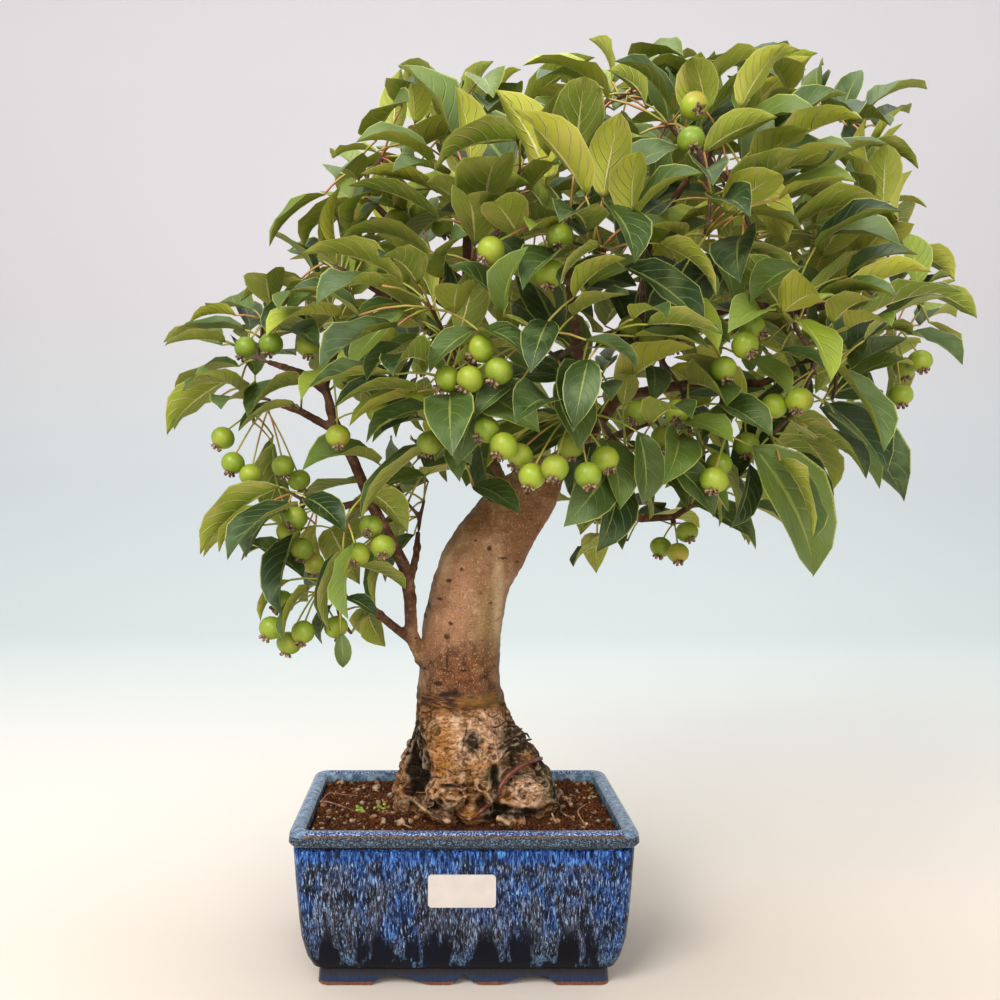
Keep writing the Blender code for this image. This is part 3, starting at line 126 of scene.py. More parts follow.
def seen(across, down, depth):
    """Point that the photograph shows at a pixel, at a depth behind the pot's middle."""
    reach = depth - EYE.y
    return POT_MIDDLE + Vector((EYE.x + (across - SIGHT_PX[0]) * reach / FOCAL_PX, depth,
                                EYE.z + (SIGHT_PX[1] - down) * reach / FOCAL_PX))


def on_photo(point):
    """Pixel of the photograph where a point shows."""
    place = point - POT_MIDDLE
    reach = place.y - EYE.y
    return (SIGHT_PX[0] + (place.x - EYE.x) * FOCAL_PX / reach,
            SIGHT_PX[1] - (place.z - EYE.z) * FOCAL_PX / reach)


def inside_outline(across, down, outline):
    """Whether a pixel lies inside an outline."""
    inside = False
    for (x1, y1), (x2, y2) in zip(outline, outline[1:] + outline[:1]):
        if (y1 > down) != (y2 > down) and across < x1 + (down - y1) * (x2 - x1) / (y2 - y1):
            inside = not inside
    return inside


# Depth of the front of the wood, and how far behind it the places marked on it reach
FRONT_DEPTH = -0.028
FRONT_REACH = 0.034

# Working with objects


def only(item):
    """Select one object alone and make it the active one."""
    bpy.ops.object.select_all(action="DESELECT")
    item.select_set(True)
    bpy.context.view_layer.objects.active = item
    return item


def settle(item, name):
    """Name an object and put its place, turn and size into its mesh."""
    only(item)
    item.name = name
    item.data.name = name
    bpy.ops.object.transform_apply(location=True, rotation=True, scale=True)
    return item


@contextmanager
def editing():
    """Edit mode of the active object, all of it selected at the start."""
    bpy.ops.object.mode_set(mode="EDIT")
    bpy.ops.mesh.select_all(action="SELECT")
    yield
    bpy.ops.object.mode_set(mode="OBJECT")


def pick(item, test, kind="verts"):
    """In edit mode, select the points or faces that pass a test."""
    mesh = bmesh.from_edit_mesh(item.data)
    for part in [*mesh.verts, *mesh.edges, *mesh.faces]:
        part.select = False
    for part in getattr(mesh, kind):
        place = part.co if kind == "verts" else part.calc_center_median()
        if test(place, part.normal):
            part.select = True
    if kind == "verts":
        mesh.select_flush(True)
    bmesh.update_edit_mesh(item.data)


def apply_all(item):
    """Apply every modifier of an object, first to last."""
    only(item)
    for modifier in list(item.modifiers):
        bpy.ops.object.modifier_apply(modifier=modifier.name)
    return item


def put_on(item, *materials):
    """Give an object its materials in order."""
    item.data.materials.clear()
    for material in materials:
        item.data.materials.append(material)
    return item


def smooth(item, angle=None):
    """Shade an object smooth, or smooth up to an angle."""
    only(item)
    if angle is None:
        bpy.ops.object.shade_smooth()
    else:
        bpy.ops.object.shade_smooth_by_angle(angle=math.radians(angle))
    return item


def joined(items, name):
    """Join objects into the first one."""
    only(items[0])
    for item in items[1:]:
        item.select_set(True)
    if len(items) > 1:
        bpy.ops.object.join()
    items[0].name = name
    items[0].data.name = name
    return items[0]


def copy_of(form):
    """Copy of an object, with its own mesh."""
    item = form.copy()
    item.data = form.data.copy()
    bpy.context.scene.collection.objects.link(item)
    return item


def set_faces(item, **values):
    """Give every face of an object the same values."""
    for face in item.data.polygons:
        for key, value in values.items():
            setattr(face, key, value)


def without_maps(item):
    """Take the UV maps off an object."""
    while item.data.uv_layers:
        item.data.uv_layers.remove(item.data.uv_layers[0])
    return item


def surface_of(item):
    """Points and faces of an object."""
    mesh = item.data
    return [vert.co.copy() for vert in mesh.vertices], [tuple(face.vertices) for face in mesh.polygons]


def tree_of(item):
    """Search tree of an object's surface."""
    return BVHTree.FromPolygons(*surface_of(item))


def finished(item, names):
    """Give an object the finishes of these names in order."""
    return put_on(item, *[finish_of[name] for name in names])


def merged_copy(node, name):
    """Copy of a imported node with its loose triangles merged."""
    item = copy_of(node)
    item.hide_render = False
    item.hide_viewport = False
    item.hide_set(False)
    item.name = name
    only(item)
    with editing():
        bpy.ops.mesh.remove_doubles(threshold=WELD)
    set_faces(item, material_index=0)
    return item


def new_mesh(name, points, faces):
    """Object from points and faces."""
    mesh = bpy.data.meshes.new(name)
    mesh.from_pydata([tuple(p) for p in points], [], faces)
    item = bpy.data.objects.new(name, mesh)
    bpy.context.scene.collection.objects.link(item)
    return item


def cord_tube(name, route, radii, sides):
    """Closed tube along a route of points, with a radius at each point."""
    points = []
    faces = []
    side = Vector((0.31, 0.17, 0.93))
    for k, place in enumerate(route):
        ahead = (route[min(k + 1, len(route) - 1)] - route[max(k - 1, 0)]).normalized()
        side = (side - ahead * side.dot(ahead)).normalized()
        up = ahead.cross(side)
        for turn in range(sides):
            angle = 2 * math.pi * turn / sides
            points.append(place + (side * math.cos(angle) + up * math.sin(angle)) * radii[k])
    for k in range(len(route) - 1):
        low = k * sides
        for turn in range(sides):
            after = (turn + 1) % sides
            faces.append((low + turn, low + after, low + sides + after, low + sides + turn))
    faces.append(tuple(reversed(range(sides))))
    faces.append(tuple(range((len(route) - 1) * sides, len(route) * sides)))
    item = new_mesh(name, points, faces)
    return smooth(item, 50)


def curve_through(corners, steps):
    """Smooth route through corner points."""
    route = []
    ends = [corners[0] * 2 - corners[1], *corners, corners[-1] * 2 - corners[-2]]
    for k in range(1, len(ends) - 2):
        before, start, end, after = ends[k - 1:k + 3]
        for step in range(steps):
            t = step / steps
            route.append(0.5 * (start * 2 + (end - before) * t
                                + (before * 2 - start * 5 + end * 4 - after) * t * t
                                + (start * 3 - before - end * 3 + after) * t ** 3))
    route.append(corners[-1])
    return route


# Finishes

# Pits and slits of the upper trunk as seen: pixel across and down, half width and half height in pixels
TRUNK_PITS = [(490, 549, 2.4, 2.2), (449, 582, 2.8, 1.8), (440, 601, 3.0, 1.3), (429, 609, 2.0, 3.2),
              (425, 621, 1.5, 2.6), (451, 625, 2.0, 1.6), (462, 570, 1.5, 2.2), (424, 673, 1.6, 1.6),
              (465, 672, 3.4, 0.9), (447, 664, 1.2, 7.0), (438, 686, 4.0, 2.0), (455, 693, 2.4, 2.2),
              (504, 559, 4.0, 1.2), (447, 638, 2.6, 2.4), (476, 541, 1.4, 1.2)]
# Brown, olive, pink and pale places on the upper trunk, partly the bark's own colour and partly painted
# light:
# the brown places hold a painted shade at the upper left, the pink ones a painted highlight at the middle
# left, and the pale ones are painted highlights along the right edge and at the left. Each gives softness
# of the edge, how much shows, colour, and places as seen, each a pixel across and down with its half width
# and half height
TRUNK_PATCHES_AND_PAINTED_LIGHT = [
    (0.35, 0.72, (0.31, 0.155, 0.068), [(528, 540, 26, 46), (482, 522, 20, 15), (560, 478, 20, 26)]),
    (0.6, 0.6, (0.39, 0.29, 0.155), [(488, 634, 20, 46), (455, 520, 10, 10)]),
    (0.6, 0.6, (0.55, 0.32, 0.235), [(455, 600, 17, 42), (432, 640, 12, 22)]),
    (0.6, 0.6, (0.92, 0.78, 0.61), [(500, 604, 6, 46), (443, 556, 9, 22)]),
]
# Heights between which the pot's glaze changes, from its feet up to its lip
CLAY_EDGE = (0.0017, 0.0024)
LOW_FOOT = (0.0035, 0.0070)
FOOT_EDGE = (0.0078, 0.0094)
BAND_EDGE = (0.0690, 0.0722)
GROOVE_UNDER = (0.0779, 0.0784)
LIP_EDGE = (0.0792, 0.0797)
GROOVE_OVER = (0.0793, 0.0798)
LIP_MIDDLE = (0.0850, 0.0858)
LIP_TOP = (0.0866, 0.0873)
# The same on the inner wall, and how far in from the rim's outside that wall and the lip's worn ends are
INSIDE_FLOOR = (0.060, 0.062)
INSIDE_SHADE = (0.0800, 0.0860)
INNER_WALL = (0.0088, 0.0072)
WORN_HEIGHT = (0.0850, 0.0860)
WORN_END = (0.0100, 0.0085)


class Finish:
    """A material with its node tree and short ways to add to it."""

    def __init__(self, name, roughness=0.5, **shader):
        self.material = bpy.data.materials.new(name)
        self.material.use_nodes = True
        self.tree = self.material.node_tree
        self.shader = self.tree.nodes["Principled BSDF"]
        self.shader.inputs["Roughness"].default_value = roughness
        for key, value in shader.items():
            self.shader.inputs[key.replace("_", " ")].default_value = value

    def add(self, kind, links=(), **settings):
        """Add a node, with values or links for its inputs by place or name."""
        node = self.tree.nodes.new("ShaderNode" + kind)
        for key, value in settings.items():
            setattr(node, key, value)
        for key, value in dict(links).items():
            if isinstance(value, bpy.types.NodeSocket):
                self.tree.links.new(value, node.inputs[key])
            else:
                node.inputs[key].default_value = value
        return node

    def place(self, scale=(1.0, 1.0, 1.0)):
        """Object coordinates, stretched."""
        coords = self.add("TexCoord")
        return self.add("Mapping", {"Vector": coords.outputs["Object"], "Scale": scale}).outputs[0]

    def grain(self, place, scale, detail=4.0, rough=0.55, warp=0.0):
        """Noise between 0 and 1."""
        return self.add("TexNoise", {"Vector": place, "Scale": scale, "Detail": detail,
                                     "Roughness": rough, "Distortion": warp}).outputs["Fac"]

    def cells(self, place, scale, feature="F1", random=1.0):
        """Distance in a pattern of cells."""
        return self.add("TexVoronoi", {"Vector": place, "Scale": scale, "Randomness": random},
                        feature=feature).outputs["Distance"]

    def steps(self, value, low, high, start=0.0, end=1.0):
        """Smooth step of a value between two limits."""
        node = self.add("MapRange", {"Value": value, "From Min": low, "From Max": high,
                                     "To Min": start, "To Max": end}, interpolation_type="SMOOTHSTEP")
        return node.outputs["Result"]

    def sums(self, kind, first, second=0.0, third=0.0):
        """Result of a sum on values."""
        return self.add("Math", {0: first, 1: second, 2: third}, operation=kind).outputs[0]

    def mixed(self, share, first, second, kind="MIX"):
        """Two colours mixed by a share."""
        node = self.add("Mix", data_type="RGBA", blend_type=kind)
        for key, value in ((0, share), (6, first), (7, second)):
            if isinstance(value, bpy.types.NodeSocket):
                self.tree.links.new(value, node.inputs[key])
            elif key == 0:
                node.inputs[key].default_value = value
            else:
                node.inputs[key].default_value = (*value, 1.0)
        return node.outputs[2]

    def ramp(self, value, *stops):
        """Colour ramp with stops of a place and a colour."""
        node = self.add("ValToRGB", {"Fac": value})
        band = node.color_ramp.elements
        while len(band) < len(stops):
            band.new(0.5)
        for element, (place, color) in zip(band, stops):
            element.position = place
            element.color = (*color, 1.0)
        return node.outputs["Color"]

    def most(self, *values):
        """Greatest of several values."""
        best = values[0]
        for value in values[1:]:
            best = self.sums("MAXIMUM", best, value)
        return best

    def zone(self, waver, *spots, soft=0.35, wild=0.9):
        """Mask of places on the front of the wood, each a pixel across and down with its half width and
        half height in pixels, with edges that waver."""
        scale = (FRONT_DEPTH - EYE.y) / FOCAL_PX
        coords = self.add("TexCoord").outputs["Object"]
        masks = []
        for across, down, wide, high in spots:
            half = (wide * scale, FRONT_REACH, high * scale)
            middle = seen(across, down, FRONT_DEPTH)
            shift = [-middle[k] / half[k] for k in range(3)]
            vector = self.add("Mapping", {"Vector": coords, "Scale": [1.0 / k for k in half],
                                          "Location": shift})
            away = self.add("VectorMath", {0: vector.outputs[0]}, operation="LENGTH").outputs["Value"]
            away = self.sums("MULTIPLY_ADD", self.sums("SUBTRACT", waver, 0.5), wild, away)
            masks.append(self.steps(away, 1.0 - soft, 1.0 + soft, 1.0, 0.0))
        return self.most(*masks)

    def stored(self, name):
        """Value that the mesh stores at its points."""
        return self.add("Attribute", attribute_name=name).outputs["Fac"]

    def height(self, place):
        """Height of a place."""
        return self.add("SeparateXYZ", {0: place}).outputs["Z"]

    def laid(self, color, share, added, amount=1.0):
        """Colour with another laid over it by a mask and an amount."""
        if amount < 1.0:
            share = self.part(share, amount)
        return self.mixed(share, color, added)

    def part(self, first, second):
        """Product of two masks or of a mask and a share."""
        return self.sums("MULTIPLY", first, second)

    def color(self, value):
        """Set the surface's colour."""
        self.tree.links.new(value, self.shader.inputs["Base Color"])

    def roughness(self, value):
        """Set the surface's roughness."""
        self.tree.links.new(value, self.shader.inputs["Roughness"])

    def relief(self, height, distance, strength=1.0, under=None):
        """Set the surface's bump, over an earlier one."""
        links = {"Height": height, "Distance": distance, "Strength": strength}
        if under is not None:
            links["Normal"] = under
        bump = self.add("Bump", links).outputs["Normal"]
        self.tree.links.new(bump, self.shader.inputs["Normal"])
        return bump

    def glow_through(self, color, share):
        """Let some light through, as a leaf does."""
        out = self.tree.nodes["Material Output"]
        through = self.add("BsdfTranslucent", {"Color": color})
        mix = self.add("MixShader", {0: share, 1: self.shader.outputs[0], 2: through.outputs[0]})
        self.tree.links.new(mix.outputs[0], out.inputs["Surface"])


def leaf_lines(finish):
    """Masks on a leaf's own map: midrib, side veins and margin, and its distance from the rib."""
    uv = finish.add("UVMap", uv_map="blade").outputs[0]
    split = finish.add("SeparateXYZ", {0: uv})
    along = split.outputs["X"]
    side = finish.sums("SUBTRACT", split.outputs["Y"], 0.5)
    across = finish.part(finish.sums("ABSOLUTE", side), 2.0)
    stagger = finish.part(finish.sums("GREATER_THAN", side, 0.0), 0.45)
    bent = finish.part(across, finish.sums("MULTIPLY_ADD", across, 1.1, 1.2))
    run = finish.sums("SUBTRACT", finish.part(along, 6.6), bent)
    beat = finish.sums("FRACT", finish.sums("ADD", run, stagger))
    off = finish.sums("ABSOLUTE", finish.sums("SUBTRACT", beat, 0.5))
    veins = finish.steps(off, 0.0, 0.10, 1.0, 0.0)
    fade = finish.steps(across, 0.70, 0.97, 1.0, 0.0)
    veins = finish.part(veins, fade)
    taper = finish.steps(along, 0.0, 1.0, 0.115, 0.030)
    rib = finish.steps(finish.sums("DIVIDE", across, taper), 0.35, 1.0, 1.0, 0.0)
    teeth = finish.sums("FRACT", finish.part(along, 34.0))
    margin = finish.steps(finish.sums("MULTIPLY_ADD", teeth, 0.035, across), 0.945, 0.995)
    return uv, across, veins, rib, margin


def leaf_upper():
    """Upper side of a leaf: satin green with grey-green patches of painted sheen, pale thin veins, and a
    fine pale margin that is partly painted highlight.
    """
    finish = Finish("leaf_upper", 0.45, Specular_IOR_Level=0.48)
    veins, rib, margin = leaf_lines(finish)[2:]
    tint = finish.stored("tint")
    place = finish.place()
    patch = finish.grain(place, 55.0, 3.0)
    fine = finish.grain(place, 900.0, 2.0)
    green = finish.ramp(tint, (0.0, (0.018, 0.038, 0.010)), (0.35, (0.078, 0.122, 0.026)),
                        (0.7, (0.22, 0.29, 0.040)), (1.0, (0.48, 0.54, 0.050)))
    # Grey-green patches: painted sheen, a soft grey reflection on the upper side
    green = finish.mixed(finish.steps(patch, 0.42, 0.70, 0.0, 0.5), green, (0.22, 0.29, 0.13))
    shade = finish.mixed(finish.part(fine, 0.3), green, (0.04, 0.10, 0.02))
    lined = finish.mixed(finish.part(veins, 0.34), shade, (0.30, 0.40, 0.10))
    lined = finish.laid(lined, rib, (0.40, 0.46, 0.12), 0.6)
    # Pale margin: the edge's own pale colour, made brighter as a painted highlight where the toothed edge
    # catches light
    lined = finish.laid(lined, margin, (0.50, 0.53, 0.16), 0.7)
    finish.color(lined)
    finish.roughness(finish.steps(patch, 0.2, 0.8, 0.38, 0.55))
    height = finish.sums("SUBTRACT", finish.part(fine, 0.3), finish.sums("MAXIMUM", veins, rib))
    finish.relief(height, 0.0006, 0.55)
    finish.glow_through((0.40, 0.52, 0.03, 1.0), 0.12)
    return finish.material


def leaf_under():
    """Underside of a leaf: dull olive green with raised pale veins."""
    finish = Finish("leaf_under", 0.62)
    uv, across, veins, rib, margin = leaf_lines(finish)
    tint = finish.stored("tint")
    place = finish.place()
    patch = finish.grain(place, 70.0, 3.0)
    green = finish.ramp(tint, (0.0, (0.23, 0.32, 0.035)), (0.5, (0.42, 0.48, 0.050)),
                        (1.0, (0.60, 0.60, 0.060)))
    outer = finish.steps(across, 0.15, 1.0, 0.25, 1.0)
    green = finish.mixed(finish.part(finish.steps(patch, 0.40, 0.75, 0.0, 0.8), outer), green,
                         (0.62, 0.50, 0.19))
    mesh_lines = finish.steps(finish.cells(uv, 26.0, "DISTANCE_TO_EDGE"), 0.0, 0.09, 0.30, 0.0)
    green = finish.mixed(mesh_lines, green, (0.60, 0.60, 0.16))
    lined = finish.mixed(finish.part(veins, 0.9), green, (0.86, 0.81, 0.42))
    lined = finish.mixed(rib, lined, (0.86, 0.79, 0.36))
    lined = finish.laid(lined, margin, (0.76, 0.72, 0.30), 0.6)
    finish.color(lined)
    finish.relief(finish.sums("MAXIMUM", veins, rib), 0.0009, 0.8)
    finish.glow_through((0.45, 0.58, 0.04, 1.0), 0.16)
    return finish.material


def stalk_green():
    """Stalks of leaves and fruits: yellow-green, redder in places."""
    finish = Finish("stalk_green", 0.45)
    place = finish.place()
    height = finish.height(place)
    patch = finish.sums("ADD", finish.grain(place, 60.0, 2.0), finish.steps(height, 0.35, 0.43, 0.0, 0.13))
    finish.color(finish.ramp(patch, (0.35, (0.30, 0.38, 0.06)), (0.55, (0.44, 0.40, 0.09)),
                             (0.72, (0.52, 0.21, 0.11))))
    finish.relief(finish.grain(place, 1500.0, 2.0), 0.0002, 0.3)
    return finish.material


def fruit_skin():
    """Skin of an unripe fruit: lime green with a paler cheek and fine dots."""
    finish = Finish("fruit_skin", 0.4, Coat_Weight=0.05, Coat_Roughness=0.3)
    tint = finish.stored("tint")
    place = finish.place()
    cheek = finish.grain(place, 75.0, 2.0)
    dots = finish.cells(place, 900.0)
    body = finish.ramp(tint, (0.0, (0.18, 0.27, 0.022)), (1.0, (0.34, 0.41, 0.036)))
    body = finish.mixed(finish.steps(cheek, 0.4, 0.75, 0.0, 0.5), body, (0.42, 0.43, 0.060))
    blush = finish.part(finish.steps(cheek, 0.52, 0.66, 0.0, 0.35), finish.steps(tint, 0.70, 0.85))
    body = finish.mixed(blush, body, (0.42, 0.17, 0.055))
    finish.color(finish.mixed(finish.steps(dots, 0.10, 0.22, 0.30, 0.0), body, (0.55, 0.62, 0.20)))
    finish.roughness(finish.steps(cheek, 0.3, 0.8, 0.36, 0.5))
    finish.relief(finish.grain(place, 500.0, 2.0), 0.0002, 0.25)
    return finish.material


def withered_calyx():
    """Dry brown calyx at a fruit's end."""
    finish = Finish("withered_calyx", 0.85)
    place = finish.place()
    finish.color(finish.ramp(finish.grain(place, 700.0, 4.0), (0.36, (0.035, 0.017, 0.010)),
                             (0.60, (0.42, 0.28, 0.18))))
    finish.relief(finish.grain(place, 1600.0, 3.0), 0.0004, 0.6)
    return finish.material


def twig_bark():
    """Bark of the thin twigs and branches: reddish dark brown with pale dots."""
    finish = Finish("twig_bark", 0.6)
    place = finish.place()
    patch = finish.grain(place, 90.0, 4.0)
    dots = finish.cells(place, 420.0)
    body = finish.ramp(patch, (0.3, (0.050, 0.024, 0.014)), (0.55, (0.125, 0.058, 0.034)),
                       (0.8, (0.24, 0.14, 0.085)))
    body = finish.mixed(finish.steps(dots, 0.08, 0.2, 0.6, 0.0), body, (0.36, 0.27, 0.19))
    finish.color(body)
    finish.relief(finish.grain(place, 700.0, 5.0), 0.0006, 0.6)
    return finish.material


def streaks(finish):
    """Colour of the dark and orange streaks round the trunk where its two barks meet."""
    rings = finish.grain(finish.place((0.22, 0.22, 1.0)), 420.0, 6.0, 0.68, 0.5)
    return finish.ramp(rings, (0.40, (0.010, 0.005, 0.003)), (0.49, (0.085, 0.035, 0.014)),
                       (0.57, (0.30, 0.14, 0.052)), (0.68, (0.62, 0.39, 0.21)))


def smooth_bark():
    """Bark of the upper trunk: pinkish tan with brown places, pits and fine specks, and painted shade and
    painted highlights in some places; dark on thin limbs.
    """
    finish = Finish("smooth_bark", 0.55, Specular_IOR_Level=0.25)
    place = finish.place()
    height = finish.height(place)
    level = finish.place((0.4, 0.4, 1.0))
    wide = finish.grain(place, 30.0, 4.0, 0.6, 0.5)
    mid = finish.grain(place, 150.0, 7.0, 0.66, 0.4)
    fine = finish.grain(place, 950.0, 3.0, 0.6)
    rings = finish.grain(finish.place((0.2, 0.2, 1.0)), 330.0, 4.0)
    skin = finish.ramp(mid, (0.30, (0.28, 0.155, 0.095)), (0.45, (0.42, 0.265, 0.175)),
                       (0.58, (0.52, 0.35, 0.245)), (0.74, (0.82, 0.65, 0.52)))
    skin = finish.mixed(finish.steps(wide, 0.46, 0.66, 0.0, 0.6), skin, (0.38, 0.215, 0.12))
    # Listed places of brown, olive, pink and pale, some of them painted shade and painted highlights
    for soft, amount, color, spots in TRUNK_PATCHES_AND_PAINTED_LIGHT:
        skin = finish.laid(skin, finish.zone(mid, *spots, soft=soft), color, amount)
    band = finish.zone(mid, (462, 678, 48, 32), soft=0.75, wild=1.1)
    skin = finish.laid(skin, band, finish.ramp(mid, (0.36, (0.07, 0.022, 0.007)),
                                               (0.6, (0.26, 0.105, 0.040))), 0.95)
    skin = finish.mixed(finish.steps(rings, 0.54, 0.68, 0.0, 0.35), skin, (0.22, 0.13, 0.09))
    skin = finish.mixed(finish.steps(fine, 0.42, 0.30, 0.0, 0.6), skin, (0.14, 0.070, 0.040))
    skin = finish.mixed(finish.steps(fine, 0.54, 0.68, 0.0, 0.42), skin, (0.92, 0.76, 0.60))
    skin = finish.mixed(finish.steps(finish.cells(place, 700.0), 0.06, 0.20, 0.25, 0.0), skin,
                        (0.80, 0.66, 0.52))
    pits = finish.steps(finish.cells(level, 230.0), 0.07, 0.18, 1.0, 0.0)
    pits = finish.part(pits, finish.steps(finish.grain(place, 50.0, 2.0), 0.50, 0.60))
    pits = finish.most(pits, finish.zone(fine, *TRUNK_PITS, soft=0.5, wild=1.8))
    skin = finish.laid(skin, pits, (0.045, 0.024, 0.016), 0.85)
    edge = finish.sums("ADD", height, finish.part(wide, 0.030))
    low = finish.steps(edge, 0.166, 0.174, 1.0, 0.0)
    skin = finish.laid(skin, low, streaks(finish), 0.92)
    stain = finish.zone(mid, (486, 704, 26, 6), soft=0.7, wild=1.8)
    skin = finish.laid(skin, stain, (0.36, 0.22, 0.050), 0.55)
    limb = finish.ramp(mid, (0.30, (0.042, 0.020, 0.011)), (0.5, (0.115, 0.054, 0.029)),
                       (0.72, (0.27, 0.155, 0.092)))
    thin = finish.steps(finish.stored("thin"), 0.2, 0.9)
    skin = finish.mixed(1.0, skin, (0.68, 0.60, 0.48), "MULTIPLY")
    finish.color(finish.mixed(thin, skin, limb))
    finish.roughness(finish.steps(fine, 0.2, 0.8, 0.45, 0.72))
    bump = finish.relief(finish.sums("ADD", rings, mid), 0.0012, 0.6)
    finish.relief(finish.sums("SUBTRACT", fine, finish.part(pits, 2.0)), 0.0007, 0.6, bump)
    return finish.material


def rough_bark():
    """Bark of the foot: pinkish beige to orange flakes between dark cracks, near-black moss on the right,
    and painted shade in its hollows, gaps and recesses.
    """
    finish = Finish("rough_bark", 0.78, Specular_IOR_Level=0.15)
    place = finish.place()
    height = finish.height(place)
    dark = finish.stored("dark")
    cavity_shade = finish.stored("cavity_shade")
    crest = finish.stored("crest")
    blur = finish.add("TexNoise", {"Vector": place, "Scale": 160.0, "Detail": 3.0}).outputs["Color"]
    warped = finish.add("VectorMath", {0: blur, 1: (0.007, 0.007, 0.007), 2: place},
                        operation="MULTIPLY_ADD").outputs[0]
    squat = finish.add("Mapping", {"Vector": warped, "Scale": (0.7, 0.7, 1.35)}).outputs[0]
    crack = finish.grain(place, 190.0, 8.0, 0.72, 1.1)
    patch = finish.grain(place, 48.0, 5.0, 0.6, 0.6)
    fine = finish.grain(squat, 1000.0, 5.0, 0.72)
    flat = finish.add("Mapping", {"Vector": warped, "Scale": (0.36, 0.36, 1.5)}).outputs[0]
    wrinkle = finish.grain(flat, 640.0, 6.0, 0.70)
    thin_lines = finish.sums("ABSOLUTE", finish.sums("SUBTRACT", finish.grain(squat, 260.0, 6.0, 0.6), 0.5))
    lines = finish.part(finish.steps(thin_lines, 0.0, 0.020, 0.9, 0.0), finish.steps(patch, 0.42, 0.56))
    brown = finish.ramp(crack, (0.30, (0.030, 0.012, 0.005)), (0.43, (0.17, 0.069, 0.023)),
                        (0.55, (0.45, 0.215, 0.075)), (0.70, (0.76, 0.47, 0.22)))
    pale = finish.ramp(crack, (0.30, (0.10, 0.040, 0.018)), (0.43, (0.45, 0.235, 0.120)),
                       (0.55, (0.80, 0.52, 0.34)), (0.70, (1.0, 0.81, 0.62)))
    moss_and_shade_tone = finish.ramp(crack, (0.38, (0.007, 0.005, 0.003)), (0.52, (0.030, 0.021, 0.011)),
                       (0.62, (0.11, 0.078, 0.038)), (0.74, (0.50, 0.38, 0.23)))
    belly = finish.zone(patch, (478, 744, 36, 34), (532, 788, 24, 17), (468, 722, 34, 10),
                        (440, 800, 14, 10))
    body = finish.mixed(finish.part(belly, 0.9), brown, pale)
    orange = finish.most(finish.zone(patch, (460, 784, 38, 5), (444, 752, 12, 30), (500, 796, 10, 8),
                                     (476, 766, 22, 7), (440, 708, 18, 8), (466, 808, 14, 10)),
                         finish.steps(patch, 0.56, 0.68, 0.0, 0.6))
    body = finish.laid(body, orange, (0.56, 0.25, 0.055), 0.68)
    body = finish.mixed(finish.steps(wrinkle, 0.54, 0.68, 0.0, 0.65), body, (0.90, 0.68, 0.49))
    body = finish.mixed(finish.steps(wrinkle, 0.46, 0.35, 0.0, 0.85), body, (0.030, 0.014, 0.008))
    # Near-black places: dark moss and lichen on the right, and painted shade in the hollows and in the gaps
    # round the knob and the right bulb
    moss_and_shade = finish.most(finish.zone(patch, (520, 744, 20, 32), (541, 766, 14, 14), (417, 772, 12, 34),
                                    (494, 778, 7, 15), (510, 809, 30, 4), (418, 742, 6, 18),
                                    (473, 742, 8, 9), (492, 808, 12, 8), (548, 770, 10, 12),
                                    (556, 792, 6, 14), wild=2.2),
                        finish.steps(finish.grain(place, 70.0, 4.0), 0.60, 0.68, 0.0, 0.8))
    body = finish.laid(body, moss_and_shade, moss_and_shade_tone, 0.92)
    green = finish.zone(patch, (452, 794, 7, 5), (437, 731, 3, 5), (549, 786, 9, 12), (490, 775, 8, 10))
    body = finish.laid(body, green, (0.145, 0.14, 0.045), 0.55)
    body = finish.mixed(lines, body, (0.040, 0.020, 0.011))
    body = finish.mixed(finish.steps(fine, 0.42, 0.30, 0.0, 0.6), body, (0.030, 0.016, 0.010))
    body = finish.laid(body, crest, (0.76, 0.56, 0.40), 0.45)
    # Painted shade: near black in the bark's recesses
    body = finish.laid(body, cavity_shade, (0.014, 0.008, 0.005), 0.8)
    high = finish.steps(finish.sums("ADD", height, finish.part(patch, 0.016)), 0.148, 0.158)
    body = finish.laid(body, high, streaks(finish), 0.95)
    stain = finish.zone(patch, (486, 705, 26, 6), soft=0.7, wild=1.8)
    body = finish.laid(body, stain, (0.36, 0.22, 0.050), 0.55)
    # Painted shade: near black where the dark attribute marks the foot's hollows and sunken scar middles
    body = finish.laid(body, dark, finish.ramp(wrinkle, (0.42, (0.003, 0.002, 0.001)),
                                               (0.70, (0.09, 0.050, 0.026))), 0.95)
    finish.color(body)
    finish.roughness(finish.steps(fine, 0.2, 0.8, 0.6, 0.95))
    bump = finish.relief(finish.sums("SUBTRACT", crack, lines), 0.0014, 0.9)
    finish.relief(finish.sums("ADD", fine, wrinkle), 0.0011, 0.9, bump)
    return finish.material


